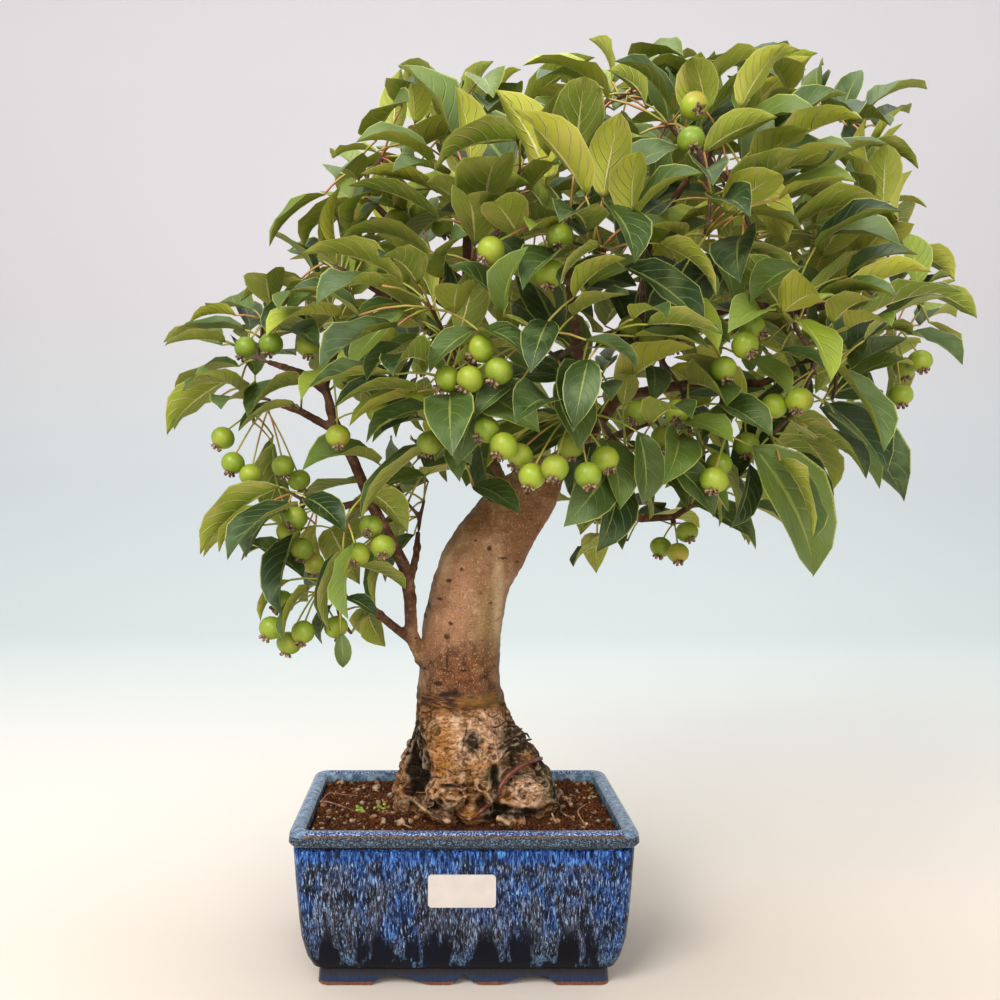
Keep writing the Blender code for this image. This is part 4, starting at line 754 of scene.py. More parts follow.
def pot_glaze():
    """Blue hare's-fur glaze that runs down over a near-black one, bare clay under the feet, and painted
    shade in the groove below the lip.
    """
    finish = Finish("pot_glaze", 0.16, Coat_Weight=0.03, Coat_Roughness=0.08, Specular_IOR_Level=0.22)
    place = finish.place()
    split = finish.add("SeparateXYZ", {0: place})
    height = split.outputs["Z"]
    fur = finish.grain(finish.place((1.0, 1.0, 0.22)), 800.0, 7.0, 0.72, 0.6)
    hairs = finish.grain(finish.place((1.0, 1.0, 0.15)), 1500.0, 4.0, 0.62, 0.3)
    spots = finish.grain(finish.place((1.0, 1.0, 0.55)), 120.0, 4.0, 0.6, 0.4)
    clouds = finish.grain(finish.place((1.0, 1.0, 0.5)), 40.0, 4.0, 0.6, 0.3)
    runs = finish.grain(finish.place((1.0, 1.0, 0.03)), 78.0, 3.0, 0.55)
    brown = finish.ramp(fur, (0.38, (0.007, 0.006, 0.009)), (0.51, (0.036, 0.033, 0.046)),
                        (0.64, (0.19, 0.25, 0.38)))
    royal = finish.ramp(fur, (0.40, (0.002, 0.003, 0.011)), (0.51, (0.010, 0.034, 0.13)),
                        (0.64, (0.10, 0.24, 0.54)))
    field = finish.mixed(finish.steps(clouds, 0.44, 0.58), brown, royal)
    field = finish.mixed(finish.steps(spots, 0.50, 0.62, 0.0, 0.9), field, (0.004, 0.005, 0.010))
    field = finish.mixed(finish.steps(hairs, 0.55, 0.66, 0.0, 0.85), field, (0.32, 0.45, 0.66))
    band = finish.ramp(fur, (0.40, (0.002, 0.003, 0.014)), (0.50, (0.012, 0.050, 0.21)),
                       (0.64, (0.13, 0.31, 0.62)))
    band = finish.mixed(finish.steps(spots, 0.52, 0.62, 0.0, 0.85), band, (0.008, 0.008, 0.016))
    top = finish.sums("ADD", height, finish.part(finish.sums("SUBTRACT", fur, 0.5), 0.016))
    field = finish.mixed(finish.steps(top, *BAND_EDGE), field, band)
    edge = finish.steps(runs, 0.42, 0.57, 0.031, 0.0135)
    edge = finish.sums("ADD", edge, finish.part(finish.sums("SUBTRACT", fur, 0.5), 0.030))
    over = finish.sums("SUBTRACT", height, edge)
    plain = finish.ramp(clouds, (0.35, (0.0020, 0.0022, 0.0060)), (0.7, (0.0035, 0.006, 0.020)))
    body = finish.mixed(finish.steps(over, -0.005, 0.009), plain, field)
    loop = finish.part(finish.steps(over, -0.0030, 0.0006), finish.steps(over, 0.0012, 0.0060, 1.0, 0.0))
    loop = finish.part(loop, finish.steps(runs, 0.46, 0.58))
    body = finish.mixed(finish.part(loop, finish.steps(hairs, 0.42, 0.6, 0.2, 0.8)), body,
                        (0.15, 0.28, 0.46))
    foot = finish.steps(height, *FOOT_EDGE, 1.0, 0.0)
    low = finish.steps(height, *LOW_FOOT, 1.0, 0.0)
    foot_color = finish.mixed(low, finish.mixed(fur, (0.022, 0.019, 0.021), (0.050, 0.045, 0.053)),
                              finish.mixed(fur, (0.011, 0.017, 0.042), (0.044, 0.068, 0.13)))
    body = finish.mixed(foot, body, foot_color)
    # Painted shade: the groove below the lip is painted near black
    groove_shade = finish.part(finish.steps(height, *GROOVE_UNDER), finish.steps(height, *GROOVE_OVER, 1.0, 0.0))
    body = finish.mixed(groove_shade, body, (0.005, 0.004, 0.005))
    speck = finish.grain(finish.place((0.8, 0.8, 1.0)), 1300.0, 4.0, 0.65)
    level = finish.sums("ADD", height, finish.part(finish.sums("SUBTRACT", speck, 0.5), 0.0028))
    lip = finish.ramp(speck, (0.38, (0.022, 0.018, 0.018)), (0.50, (0.034, 0.043, 0.058)),
                      (0.64, (0.15, 0.24, 0.34)))
    lip = finish.mixed(finish.steps(level, *LIP_MIDDLE), lip,
                       finish.ramp(speck, (0.38, (0.050, 0.032, 0.028)), (0.62, (0.17, 0.13, 0.12))))
    body = finish.mixed(finish.steps(height, *LIP_EDGE), body, lip)
    crest = finish.ramp(speck, (0.40, (0.022, 0.045, 0.17)), (0.50, (0.055, 0.11, 0.29)),
                        (0.62, (0.50, 0.60, 0.74)))
    body = finish.mixed(finish.steps(level, *LIP_TOP), body, crest)
    off = [finish.sums("ABSOLUTE", finish.sums("SUBTRACT", split.outputs[axis], POT_MIDDLE[number]))
           for number, axis in enumerate("XY")]
    inner = []
    for value, half in zip(off, RIM_HALF):
        inner.append(finish.steps(value, half - INNER_WALL[0], half - INNER_WALL[1], 1.0, 0.0))
    inside = finish.part(finish.part(*inner), finish.steps(height, *INSIDE_FLOOR))
    ends = finish.steps(off[0], RIM_HALF[0] - WORN_END[0], RIM_HALF[0] - WORN_END[1])
    ends = finish.part(ends, finish.steps(height, *WORN_HEIGHT))
    inside = finish.most(inside, finish.part(ends, 0.7))
    steel = finish.ramp(finish.grain(place, 260.0, 5.0, 0.6), (0.35, (0.085, 0.135, 0.20)),
                        (0.52, (0.20, 0.30, 0.41)), (0.70, (0.42, 0.53, 0.62)))
    steel = finish.mixed(finish.steps(height, *INSIDE_SHADE, 0.5, 0.0), steel, (0.035, 0.045, 0.060))
    body = finish.mixed(inside, body, steel)
    clay_edge = finish.sums("ADD", height, finish.part(spots, 0.0012))
    clay = finish.steps(clay_edge, *CLAY_EDGE, 1.0, 0.0)
    body = finish.mixed(clay, body,
                        finish.ramp(fur, (0.3, (0.13, 0.045, 0.022)), (0.7, (0.27, 0.105, 0.055))))
    finish.color(body)
    finish.roughness(finish.sums("MAXIMUM", finish.steps(spots, 0.3, 0.8, 0.09, 0.24),
                                 finish.part(clay, 0.8)))
    bump = finish.relief(finish.sums("ADD", loop, finish.part(fur, 0.5)), 0.0005, 0.45)
    finish.relief(finish.grain(place, 45.0, 2.0), 0.002, 0.25, bump)
    return finish.material


def soil_mix():
    """Red-brown granular soil."""
    finish = Finish("soil_mix", 0.95, Specular_IOR_Level=0.2)
    place = finish.place()
    grit = finish.cells(place, 420.0)
    patch = finish.grain(place, 80.0, 5.0, 0.6)
    fine = finish.grain(place, 900.0, 5.0, 0.75)
    body = finish.ramp(fine, (0.34, (0.012, 0.005, 0.003)), (0.47, (0.12, 0.038, 0.013)),
                       (0.58, (0.32, 0.115, 0.036)), (0.72, (0.52, 0.26, 0.12)))
    body = finish.mixed(finish.steps(patch, 0.50, 0.66, 0.0, 0.6), body, (0.045, 0.019, 0.011))
    flecks = finish.steps(finish.cells(place, 260.0), 0.06, 0.14, 1.0, 0.0)
    body = finish.laid(body, flecks, (0.42, 0.27, 0.16), 0.6)
    body = finish.mixed(finish.steps(finish.grain(place, 300.0, 4.0, 0.7), 0.56, 0.66, 0.0, 0.6), body,
                        (0.030, 0.014, 0.009))
    finish.color(body)
    finish.relief(finish.sums("ADD", fine, grit), 0.0024, 1.0)
    return finish.material


def plain_finish(name, low, high, roughness, scale, distance):
    """Finish whose colour wanders between two, with a fine relief."""
    finish = Finish(name, roughness)
    place = finish.place()
    finish.color(finish.ramp(finish.grain(place, scale, 4.0), (0.35, low), (0.65, high)))
    finish.relief(finish.grain(place, scale * 4.0, 3.0), distance, 0.5)
    return finish.material


# Camera, backdrop and lights


def set_camera():
    """Camera at the photograph's viewpoint."""
    data = bpy.data.cameras.new("photo_camera")
    camera = bpy.data.objects.new("photo_camera", data)
    bpy.context.scene.collection.objects.link(camera)
    camera.location = POT_MIDDLE + EYE
    camera.rotation_euler = (math.pi / 2, 0.0, 0.0)
    data.sensor_width = SENSOR
    data.lens = SENSOR * FOCAL_PX / PHOTO_SIDE
    data.shift_x = (PHOTO_SIDE / 2 - SIGHT_PX[0]) / PHOTO_SIDE
    data.shift_y = (SIGHT_PX[1] - PHOTO_SIDE / 2) / PHOTO_SIDE
    data.clip_start = 0.01
    bpy.context.scene.camera = camera


def set_backdrop():
    """Pale floor that sweeps up into a wall, warm in front and cooler behind."""
    finish = Finish("backdrop_paint", 0.95)
    split = finish.add("SeparateXYZ", {0: finish.place()})
    away = finish.sums("MULTIPLY_ADD", split.outputs["Y"], 0.2, 0.1)
    share = finish.sums("MULTIPLY_ADD", split.outputs["Z"], 0.264, away)
    finish.color(finish.ramp(share, (0.10, (0.75, 0.675, 0.605)), (0.16, (0.75, 0.715, 0.665)),
                             (0.33, (0.77, 0.83, 0.82)), (0.58, (0.72, 0.77, 0.785)),
                             (0.79, (0.82, 0.785, 0.80)), (0.98, (0.90, 0.865, 0.885))))
    finish.shader.inputs["Specular IOR Level"].default_value = 0.1
    bpy.ops.mesh.primitive_plane_add(size=1.0, location=(0.0, 0.2, -0.0005))
    wall = bpy.context.object
    wall.scale = (6.0, 4.4, 1.0)
    settle(wall, "backdrop")
    with editing():
        bpy.ops.mesh.select_mode(type="EDGE")
        pick(wall, lambda place, normal: place.y > 2.0)
        bpy.ops.mesh.extrude_region_move(TRANSFORM_OT_translate={"value": (0.0, 0.0, 4.0)})
        pick(wall, lambda place, normal: place.y > 2.0 and place.z < 0.1)
        bpy.ops.mesh.bevel(offset=1.1, segments=14, affect="EDGES")
        bpy.ops.mesh.select_mode(type="VERT")
    put_on(wall, finish.material)
    smooth(wall)


def set_light(name, place, target, size, power, color):
    """Soft square light that looks at a target."""
    data = bpy.data.lights.new(name, "AREA")
    data.shape = "SQUARE"
    data.size = size
    data.energy = power
    data.color = color
    lamp = bpy.data.objects.new(name, data)
    bpy.context.scene.collection.objects.link(lamp)
    lamp.location = place
    lamp.rotation_euler = (Vector(target) - Vector(place)).to_track_quat("-Z", "Y").to_euler()


def set_lights():
    """Soft studio light from the front left and above, and an even pale surround."""
    set_light("key_light", (-0.8, -1.2, 1.3), (0.05, 0.0, 0.25), 0.8, 22.0, (1.0, 0.98, 0.94))
    set_light("front_light", (0.25, -1.7, 0.75), (0.05, 0.0, 0.30), 1.0, 11.0, (1.0, 0.99, 0.97))
    set_light("top_light", (0.1, 0.2, 1.7), (0.05, 0.0, 0.2), 1.2, 11.0, (1.0, 1.0, 1.0))
    world = bpy.data.worlds.new("surround")
    world.use_nodes = True
    world.node_tree.nodes["Background"].inputs["Color"].default_value = (0.96, 0.97, 0.98, 1.0)
    world.node_tree.nodes["Background"].inputs["Strength"].default_value = 0.68
    bpy.context.scene.world = world
    bpy.context.scene.view_settings.view_transform = "Standard"
    bpy.context.scene.view_settings.gamma = 0.88
    bpy.context.scene.view_settings.exposure = 0.10


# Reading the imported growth


class Blade:
    """Place of one leaf: its socket on the twig, its blade's base, knee and tip, its left, half
    width and fold, and how it waves and curls."""

    def __init__(self, socket, base, knee, tip, left, half, fold):
        self.socket = socket
        self.base = base
        self.knee = knee
        self.tip = tip
        self.left = left
        self.half = half
        self.fold = fold
        self.length = (tip - base).length
        self.tint = 0.3
        self.wave = 0.0
        self.phase = 0.0
        self.curl = 0.0

    def vary(self, draw):
        """Give the leaf its own tint, wave and curl; the tint runs paler high in the crown and darker low
        in it, partly as young growth and partly as painted light and shade.
        """
        # Paler high up: partly young growth, partly painted light from above; darker low down as painted
        # shade inside the crown
        high = (self.tip.z - 0.18) / 0.40
        self.tint = min(max(draw.gauss(0.20 + 0.36 * max(high, 0.0) ** 1.5, 0.25), 0.0), 1.0)
        if draw.random() < 0.05 + 0.12 * max(high, 0.0):
            self.tint = draw.uniform(0.65, 1.0)
        self.wave = draw.uniform(0.05, 0.17)
        self.phase = draw.uniform(0.0, 2.0 * math.pi)
        self.curl = draw.uniform(0.03, 0.40)
        return self

    def at(self, part, across, lift):
        """Point of the leaf for a point of the leaf form."""
        if part < 0.0:
            return self.stalk_at(1.0 + part, across, lift)
        s = 1.0 - part
        middle = self.base * s * s + self.knee * 2.0 * s * part + self.tip * part * part
        ahead = ((self.knee - self.base) * s + (self.tip - self.knee) * part).normalized()
        up = ahead.cross(self.left)
        away = abs(across)
        rise = self.half * math.sin(self.fold) * (1.3 * away - 0.3 * away * away)
        wave = math.sin(11.0 * part + self.phase + (1.4 if across > 0 else 0.0)) * self.wave * away * away
        curl = -self.length * self.curl * max(part - 0.6, 0.0) ** 2
        return (middle + self.left * across * self.half * math.cos(self.fold)
                + up * (rise + wave * self.half + curl + lift * LEAF_HALF_THICK))

    def stalk_at(self, part, across, lift):
        """Point of the stalk, from the socket at 0 to the blade's base at 1."""
        way = self.base - self.socket
        bow = Vector((0.0, 0.0, way.length * STALK_BOW))
        s = 1.0 - part
        middle = self.socket * s + self.base * part + bow * 4.0 * s * part
        side = (self.left - way.normalized() * self.left.dot(way.normalized())).normalized()
        up = way.normalized().cross(side)
        radius = STALK_RADIUS * (1.35 - 0.35 * part)
        return middle + (side * across + up * lift) * radius


class Growth:
    """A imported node's mesh, merged, with its leaves or fruits taken off it."""

    def __init__(self, node):
        self.mesh = bmesh.new()
        self.mesh.from_mesh(node.data)
        bmesh.ops.remove_doubles(self.mesh, verts=self.mesh.verts[:], dist=WELD)
        self.mesh.verts.ensure_lookup_table()
        self.mesh.verts.index_update()
        self.gone = set()

    def levels(self, start, count):
        """Points met step by step from a start."""
        reached = set(start)
        level = set(start)
        met = []
        for step in range(count):
            level = {edge.other_vert(vert) for vert in level for edge in vert.link_edges} - reached
            reached |= level
            met.append(level)
        return met

    def leaves(self):
        """Leaves of the node."""
        found = []
        for tip in self.mesh.verts:
            if len(tip.link_edges) != 4:
                continue
            met = self.levels([tip], 4)
            if [len(level) for level in met] != [4, 4, 3, 3]:
                continue
            ring = list(met[0])
            pairs = [(a, b) for k, a in enumerate(ring) for b in ring[k + 1:]]
            rib = min(pairs, key=lambda pair: (pair[0].co - pair[1].co).length)
            if not RIB_THICKNESS[0] < (rib[0].co - rib[1].co).length < RIB_THICKNESS[1]:
                continue
            one, two = [vert for vert in ring if vert not in rib]
            middle = (rib[0].co + rib[1].co) / 2
            base = sum((vert.co for vert in met[2]), Vector()) / 3
            socket = sum((vert.co for vert in met[3]), Vector()) / 3
            s = 1.0 - FAR_STATION
            knee = (middle - base * s * s - tip.co * FAR_STATION ** 2) / (2.0 * s * FAR_STATION)
            ahead = ((knee - base) * s + (tip.co - knee) * FAR_STATION).normalized()
            left = (one.co - two.co).normalized()
            rise = (one.co + two.co) / 2 - middle
            if ahead.cross(left).dot(rise) < 0.0:
                left = -left
            wide = (one.co - two.co).length / 2
            half = math.hypot(wide, rise.length) / FAR_SHARE * BLADE_SWELL
            found.append(Blade(socket, base, knee, tip.co.copy(), left, half,
                               math.atan2(rise.length, wide)))
            self.gone |= {tip} | met[0] | met[1] | met[2]
        return found

    def fruits(self):
        """Fruits of the node: each one's socket, stalk end, middle, axis and radius."""
        found = []
        for face in self.mesh.faces:
            if any(abs(edge.calc_length() - FRUIT_END) > END_SLACK for edge in face.edges):
                continue
            met = self.levels(face.verts, 4)
            if [len(level) for level in met] != [6, 6, 3, 3]:
                continue
            middles = [sum((vert.co for vert in level), Vector()) / len(level) for level in met]
            near, far, neck, socket = middles
            axis = (near - far).normalized()
            radius = (near - far).length / (FRUIT_RINGS[0] - FRUIT_RINGS[1])
            middle = near - axis * radius * FRUIT_RINGS[0]
            found.append(Fruit(socket, neck, middle, axis, radius))
            self.gone |= set(face.verts) | met[0] | met[1] | met[2]
        return found

    def body(self, name):
        """What is left: the twig or spur, its holes closed."""
        bmesh.ops.delete(self.mesh, geom=list(self.gone), context="VERTS")
        edges = [edge for edge in self.mesh.edges if edge.is_boundary]
        bmesh.ops.holes_fill(self.mesh, edges=edges, sides=8)
        bmesh.ops.recalc_face_normals(self.mesh, faces=self.mesh.faces[:])
        item = bpy.data.objects.new(name, bpy.data.meshes.new(name))
        self.mesh.to_mesh(item.data)
        self.mesh.free()
        bpy.context.scene.collection.objects.link(item)
        return item


# Leaf and fruit forms, modelled once

# Finishes of leafy shoots and of fruit bunches, and the places of stalk and bark in both
LEAFY_FINISHES = ("leaf_upper", "leaf_under", "stalk_green", "twig_bark")
FRUIT_FINISHES = ("fruit_skin", "withered_calyx", "stalk_green", "twig_bark")
STALK_PLACE = 2
BARK_PLACE = 3


def leaf_half_width(part):
    """Half width of a blade at a part of its length, as a share of its widest."""
    return math.sin(math.pi * part ** 0.86) ** 0.78 * (1.0 - 0.4 * step_between(part, 0.78, 1.0))


def leaf_form():
    """One leaf: blade along X from its base at 0 to its tip at 1, and its stalk from -1 to 0."""
    bpy.ops.mesh.primitive_cylinder_add(vertices=8, radius=1.0, depth=1.0, location=(0.5, 0.0, 0.0),
                                        rotation=(0.0, math.pi / 2, 0.0))
    blade = settle(bpy.context.object, "leaf_form")
    with editing():
        for part in LEAF_STATIONS:
            bpy.ops.mesh.select_all(action="SELECT")
            bpy.ops.mesh.bisect(plane_co=(part, 0.0, 0.0), plane_no=(1.0, 0.0, 0.0))
    layer = without_maps(blade).data.uv_layers.new(name="blade")
    for loop in blade.data.loops:
        place = blade.data.vertices[loop.vertex_index].co
        layer.data[loop.index].uv = (place.x, 0.5 + 0.5 * place.y)
    with editing():
        for part in LEAF_STATIONS:
            pick(blade, lambda place, normal: abs(place.x - part) < 0.001)
            share = leaf_half_width(part)
            bpy.ops.transform.resize(value=(1.0, share, 1.0), center_override=(part, 0.0, 0.0))
        pick(blade, lambda place, normal: place.x < 0.001)
        bpy.ops.transform.resize(value=(1.0, 0.03, 1.0), center_override=(0.0, 0.0, 0.0))
        pick(blade, lambda place, normal: place.x > 0.999)
        bpy.ops.mesh.merge(type="CENTER")
        bpy.ops.mesh.select_all(action="SELECT")
        bpy.ops.mesh.quads_convert_to_tris(quad_method="SHORTEST_DIAGONAL")
        bpy.ops.mesh.select_mode(type="EDGE")
        mesh = bmesh.from_edit_mesh(blade.data)
        for edge in mesh.edges:
            edge.smooth = any(abs(vert.co.z) >= 0.01 for vert in edge.verts)
        bmesh.update_edit_mesh(blade.data)
        bpy.ops.mesh.select_mode(type="VERT")
    bpy.ops.mesh.primitive_cylinder_add(vertices=4, radius=1.0, depth=1.0, location=(-0.5, 0.0, 0.0),
                                        rotation=(0.0, math.pi / 2, 0.0))
    stalk = settle(bpy.context.object, "leaf_stalk_form")
    with editing():
        for part in (-0.66, -0.33):
            bpy.ops.mesh.select_all(action="SELECT")
            bpy.ops.mesh.bisect(plane_co=(part, 0.0, 0.0), plane_no=(1.0, 0.0, 0.0))
    without_maps(stalk).data.uv_layers.new(name="blade")
    for vert in stalk.data.vertices:
        vert.co.x = min(vert.co.x, -0.0001)
    form = joined([blade, stalk], "leaf_form")
    finished(form, LEAFY_FINISHES)
    for face in form.data.polygons:
        face.use_smooth = True
        if face.center.x < 0.0:
            face.material_index = STALK_PLACE
        else:
            face.material_index = 0 if face.normal.z > 0.0 else 1
    form.data.attributes.new("tint", "FLOAT", "POINT")
    return form


def leaf_copy(form, blade):
    """Copy of the leaf form laid along a blade."""
    item = copy_of(form)
    places = []
    for vert in form.data.vertices:
        places.extend(blade.at(*vert.co))
    item.data.vertices.foreach_set("co", places)
    item.data.attributes["tint"].data.foreach_set("value", [blade.tint] * len(form.data.vertices))
    return item


def fruit_form():
    """One fruit along Z: its stalk end at -1, its calyx at +1, radius 1."""
    bpy.ops.mesh.primitive_uv_sphere_add(segments=14, ring_count=9, radius=1.0, location=(0.0, 0.0, 0.0))
    body = settle(bpy.context.object, "fruit_form")
    with editing():
        pick(body, lambda place, normal: place.z < -0.99)
        bpy.ops.transform.translate(value=(0.0, 0.0, 0.20))
        pick(body, lambda place, normal: place.z > 0.99)
        bpy.ops.transform.translate(value=(0.0, 0.0, -0.10))
        bpy.ops.mesh.select_all(action="SELECT")
        bpy.ops.transform.resize(value=(1.03, 1.03, 0.95), center_override=(0.0, 0.0, 0.0))
    smooth(body)
    sepals = []
    for turn in range(5):
        bpy.ops.mesh.primitive_cube_add(size=1.0, location=(0.16, 0.0, 0.90))
        sepal = bpy.context.object
        sepal.scale = (0.10, 0.24, 0.10)
        settle(sepal, "sepal_form")
        with editing():
            for reach, rise, width in ((0.07, 0.17, 1.0), (0.13, 0.12, 0.85), (0.13, -0.06, 0.4)):
                pick(sepal, lambda place, normal: normal.x > 0.5, "faces")
                bpy.ops.mesh.extrude_region_move(TRANSFORM_OT_translate={"value": (reach, 0.0, rise)})
                bpy.ops.transform.resize(value=(1.0, width, 0.75))
        sepal.rotation_euler = (0.0, 0.0, 2.0 * math.pi * turn / 5)
        settle(sepal, "sepal_form")
        set_faces(sepal, use_smooth=True)
        sepals.append(sepal)
    count = len(body.data.polygons)
    form = joined([without_maps(item) for item in [body, *sepals]], "fruit_form")
    finished(form, FRUIT_FINISHES)
    for number, face in enumerate(form.data.polygons):
        face.material_index = 0 if number < count else 1
    form.data.attributes.new("tint", "FLOAT", "POINT")
    return form


def fruit_copy(form, fruit, tint, draw):
    """Copy of the fruit form at its place."""
    item = copy_of(form)
    turn = fruit.axis.to_track_quat("Z", "Y").to_matrix().to_4x4()
    spin = Matrix.Rotation(draw.uniform(0.0, 2.0 * math.pi), 4, "Z")
    wide = [fruit.radius * draw.uniform(0.95, 1.05) for k in range(2)]
    size = Matrix.Diagonal((*wide, fruit.radius, 1.0))
    item.data.transform(Matrix.Translation(fruit.middle) @ turn @ spin @ size)
    item.data.attributes["tint"].data.foreach_set("value", [tint] * len(form.data.vertices))
    return item


# Crown

# Leaves that are added at most, and how many places are tried for them
CROWN_LEAVES = 350
CROWN_TRIES = 11000
CROWN_MIDDLE = POT_MIDDLE + Vector((0.065, 0.0, 0.38))
# Rays from outside start this far from the crown's middle
RAY_START = 0.6
# Bunches that the photograph shows, and how often a leaf in front of a fruit is tried aside
BUNCHES_IN_FRONT = 21
TURN_TRIES = 60
# How near a twig's end is to what carries it, how near it touches, and how deep it is pushed in
ROOT_REACH = 0.006
ROOT_TOUCH = 0.0006
ROOT_DEPTH = 0.0026
# Wood above this height may carry added leaves
LIMB_HEIGHT = 0.30
# Where added leaves are sought from the front: pixels across and down, and depths
FRONT_ACROSS = (330, 930)
FRONT_DOWN = (60, 470)
FRONT_DEPTHS = (-0.11, 0.02)
# Crown's half length, half width and height above its middle
CROWN_REACH = (0.24, 0.17, 0.17)
# Sockets tried for an added leaf, their distance from its goal, and the length of its stalk
NEAR_SOCKETS = 24
SOCKET_REACH = (0.028, 0.062)
STALK_LENGTH = (0.010, 0.040)
# Added leaves after which the room's tree is made anew
FRESH_MOST = 30


def rooted(item, carriers):
    """Push the end of a twig that sits in what carries it further in, so that no rounding opens a gap."""
    held = set()
    for tree in carriers:
        touching = []
        for vert in item.data.vertices:
            place, normal = tree.find_nearest(vert.co, ROOT_REACH)[:2]
            if place is not None and vert.index not in held and (vert.co - place).dot(normal) < ROOT_TOUCH:
                touching.append((vert, place, normal))
        if not touching:
            continue
        inward = -sum((normal for vert, place, normal in touching), Vector()).normalized()
        start = sum((place for vert, place, normal in touching), Vector()) / len(touching)
        within = tree.ray_cast(start + inward * 0.0002, inward)[3] or ROOT_REACH
        depth = sum((place - vert.co).dot(normal) for vert, place, normal in touching) / len(touching)
        more = min(ROOT_DEPTH, within * 0.6) - depth
        for vert, place, normal in touching:
            held.add(vert.index)
            vert.co += inward * max(more, 0.0)


def fine_twig(item):
    """Rounded twig or spur from what is left of a packed growth."""
    only(item)
    with editing():
        bpy.ops.mesh.tris_convert_to_quads()
    item.modifiers.new("round", "SUBSURF").levels = 2
    item.modifiers["round"].render_levels = 2
    swell = item.modifiers.new("swell", "DISPLACE")
    swell.strength = 0.0003
    swell.mid_level = 0.0
    apply_all(item)
    set_faces(item, use_smooth=True)
    return item


def coarse_leaf(blade):
    """Few triangles that stand for a leaf when room is looked for."""
    marks = [(0.0, 0.0), (0.35, -0.95), (0.35, 0.0), (0.35, 0.95), (0.72, -0.75), (0.72, 0.0), (0.72, 0.75),
             (1.0, 0.0)]
    points = [blade.at(part, across, 0.0) for part, across in marks]
    points.append(blade.socket.lerp(blade.base, 0.25))
    faces = [(0, 1, 2), (0, 2, 3), (1, 4, 5), (1, 5, 2), (2, 5, 6), (2, 6, 3), (4, 7, 5), (5, 7, 6),
             (8, 0, 2)]
    return points, faces


def turned(blade, axis, angle):
    """Leaf turned about its socket."""
    turn = Matrix.Rotation(angle, 3, axis)
    points = (blade.base, blade.knee, blade.tip)
    base, knee, tip = [blade.socket + turn @ (point - blade.socket) for point in points]
    other = Blade(blade.socket, base, knee, tip, turn @ blade.left, blade.half, blade.fold)
    other.tint, other.wave, other.phase, other.curl = blade.tint, blade.wave, blade.phase, blade.curl
    return other


def hides(solid, lines):
    """Whether a solid stands between the eye and a place that the photograph shows."""
    for origin, guard in lines:
        gap = guard - origin
        if solid.ray_cast(origin, gap.normalized(), gap.length)[0] is not None:
            return True
    return False


def put_aside(shoots, room, lines, draw):
    """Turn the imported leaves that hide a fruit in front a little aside, where there is room."""
    held = []
    for _, blades in shoots.values():
        for number, blade in enumerate(blades):
            points, faces = coarse_leaf(blade)
            if hides(BVHTree.FromPolygons(points, faces), lines):
                held.append((blades, number))
            else:
                room.add(points, faces)
    room.settle()
    for blades, number in held:
        blade = blades[number]
        for attempt in range(TURN_TRIES):
            angle = math.radians(10.0 + 30.0 * attempt / TURN_TRIES)
            axis = Vector([draw.gauss(0.0, 1.0) for k in range(3)]).normalized()
            other = turned(blade, axis, angle)
            points, faces = coarse_leaf(other)
            if not in_reach(other) or hides(BVHTree.FromPolygons(points, faces), lines):
                continue
            if room.clear(points, faces):
                blade = other
                break
        blades[number] = blade
        room.add(*coarse_leaf(blade))
    room.settle()


class Room:
    """What already fills the crown."""

    def __init__(self):
        self.points = []
        self.faces = []
        self.tree = None
        self.fresh = []

    def add(self, points, faces):
        """Add a solid to be kept clear of."""
        low = len(self.points)
        self.points.extend(points)
        self.faces.extend(tuple(low + k for k in face) for face in faces)
        self.fresh.append(BVHTree.FromPolygons(points, faces))

    def settle(self):
        """Make one tree of all solids."""
        self.tree = BVHTree.FromPolygons(self.points, self.faces)
        self.fresh = []

    def clear(self, points, faces):
        """Whether a new solid touches nothing."""
        solid = BVHTree.FromPolygons(points, faces)
        if self.tree.overlap(solid):
            return False
        return not any(other.overlap(solid) for other in self.fresh)

    def first(self, start, way):
        """Nearest distance along a ray."""
        best = self.tree.ray_cast(start, way)[3]
        for other in self.fresh:
            reach = other.ray_cast(start, way)[3]
            if reach is not None and (best is None or reach < best):
                best = reach
        return best


def in_reach(blade):
    """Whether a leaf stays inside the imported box."""
    low, high = packed_box
    for part, across in ((0.4, 1.0), (0.4, -1.0), (1.0, 0.0), (0.7, 1.0), (0.7, -1.0), (0.0, 0.0)):
        point = blade.at(part, across, 0.0)
        if any(not low[k] - 0.0005 < point[k] < high[k] + 0.0005 for k in range(3)):
            return False
    return True


def new_blade(socket, goal, outward, draw):
    """Leaf whose blade's middle comes near a goal."""
    length = draw.uniform(0.034, 0.053)
    ahead = (goal - socket).normalized() + outward * 0.45 + Vector((0.0, 0.0, -0.22))
    ahead = (ahead + Vector([draw.gauss(0.0, 0.28) for k in range(3)])).normalized()
    base = goal - ahead * length * 0.45
    tip = goal + ahead * length * 0.55
    up = (outward * 0.7 + Vector((draw.gauss(0.0, 0.25), draw.gauss(-0.15, 0.25), 0.8))).normalized()
    left = up.cross(ahead).normalized()
    up = ahead.cross(left)
    knee = base.lerp(tip, 0.5) + up * length * draw.uniform(0.12, 0.26)
    blade = Blade(socket, base, knee, tip, left, length * draw.uniform(0.26, 0.33),
                  draw.uniform(0.30, 0.65))
    return blade.vary(draw)


def front_goal(draw):
    """The eye, and a place that it sees in the dense part of the crown, if it is one."""
    across = draw.uniform(*FRONT_ACROSS)
    down = draw.uniform(*FRONT_DOWN)
    if not inside_outline(across, down, DENSE_SEEN):
        return None
    return POT_MIDDLE + EYE, seen(across, down, draw.uniform(*FRONT_DEPTHS))


def limb_goal(sockets, draw):
    """A place outside the crown, and one near a twig that it looks at."""
    limb = sockets[draw.randrange(len(sockets))][0]
    way = (limb - CROWN_MIDDLE).normalized()
    goal = limb + (way + Vector([draw.gauss(0.0, 0.5) for k in range(3)])) * 0.034
    return CROWN_MIDDLE + way * RAY_START, goal


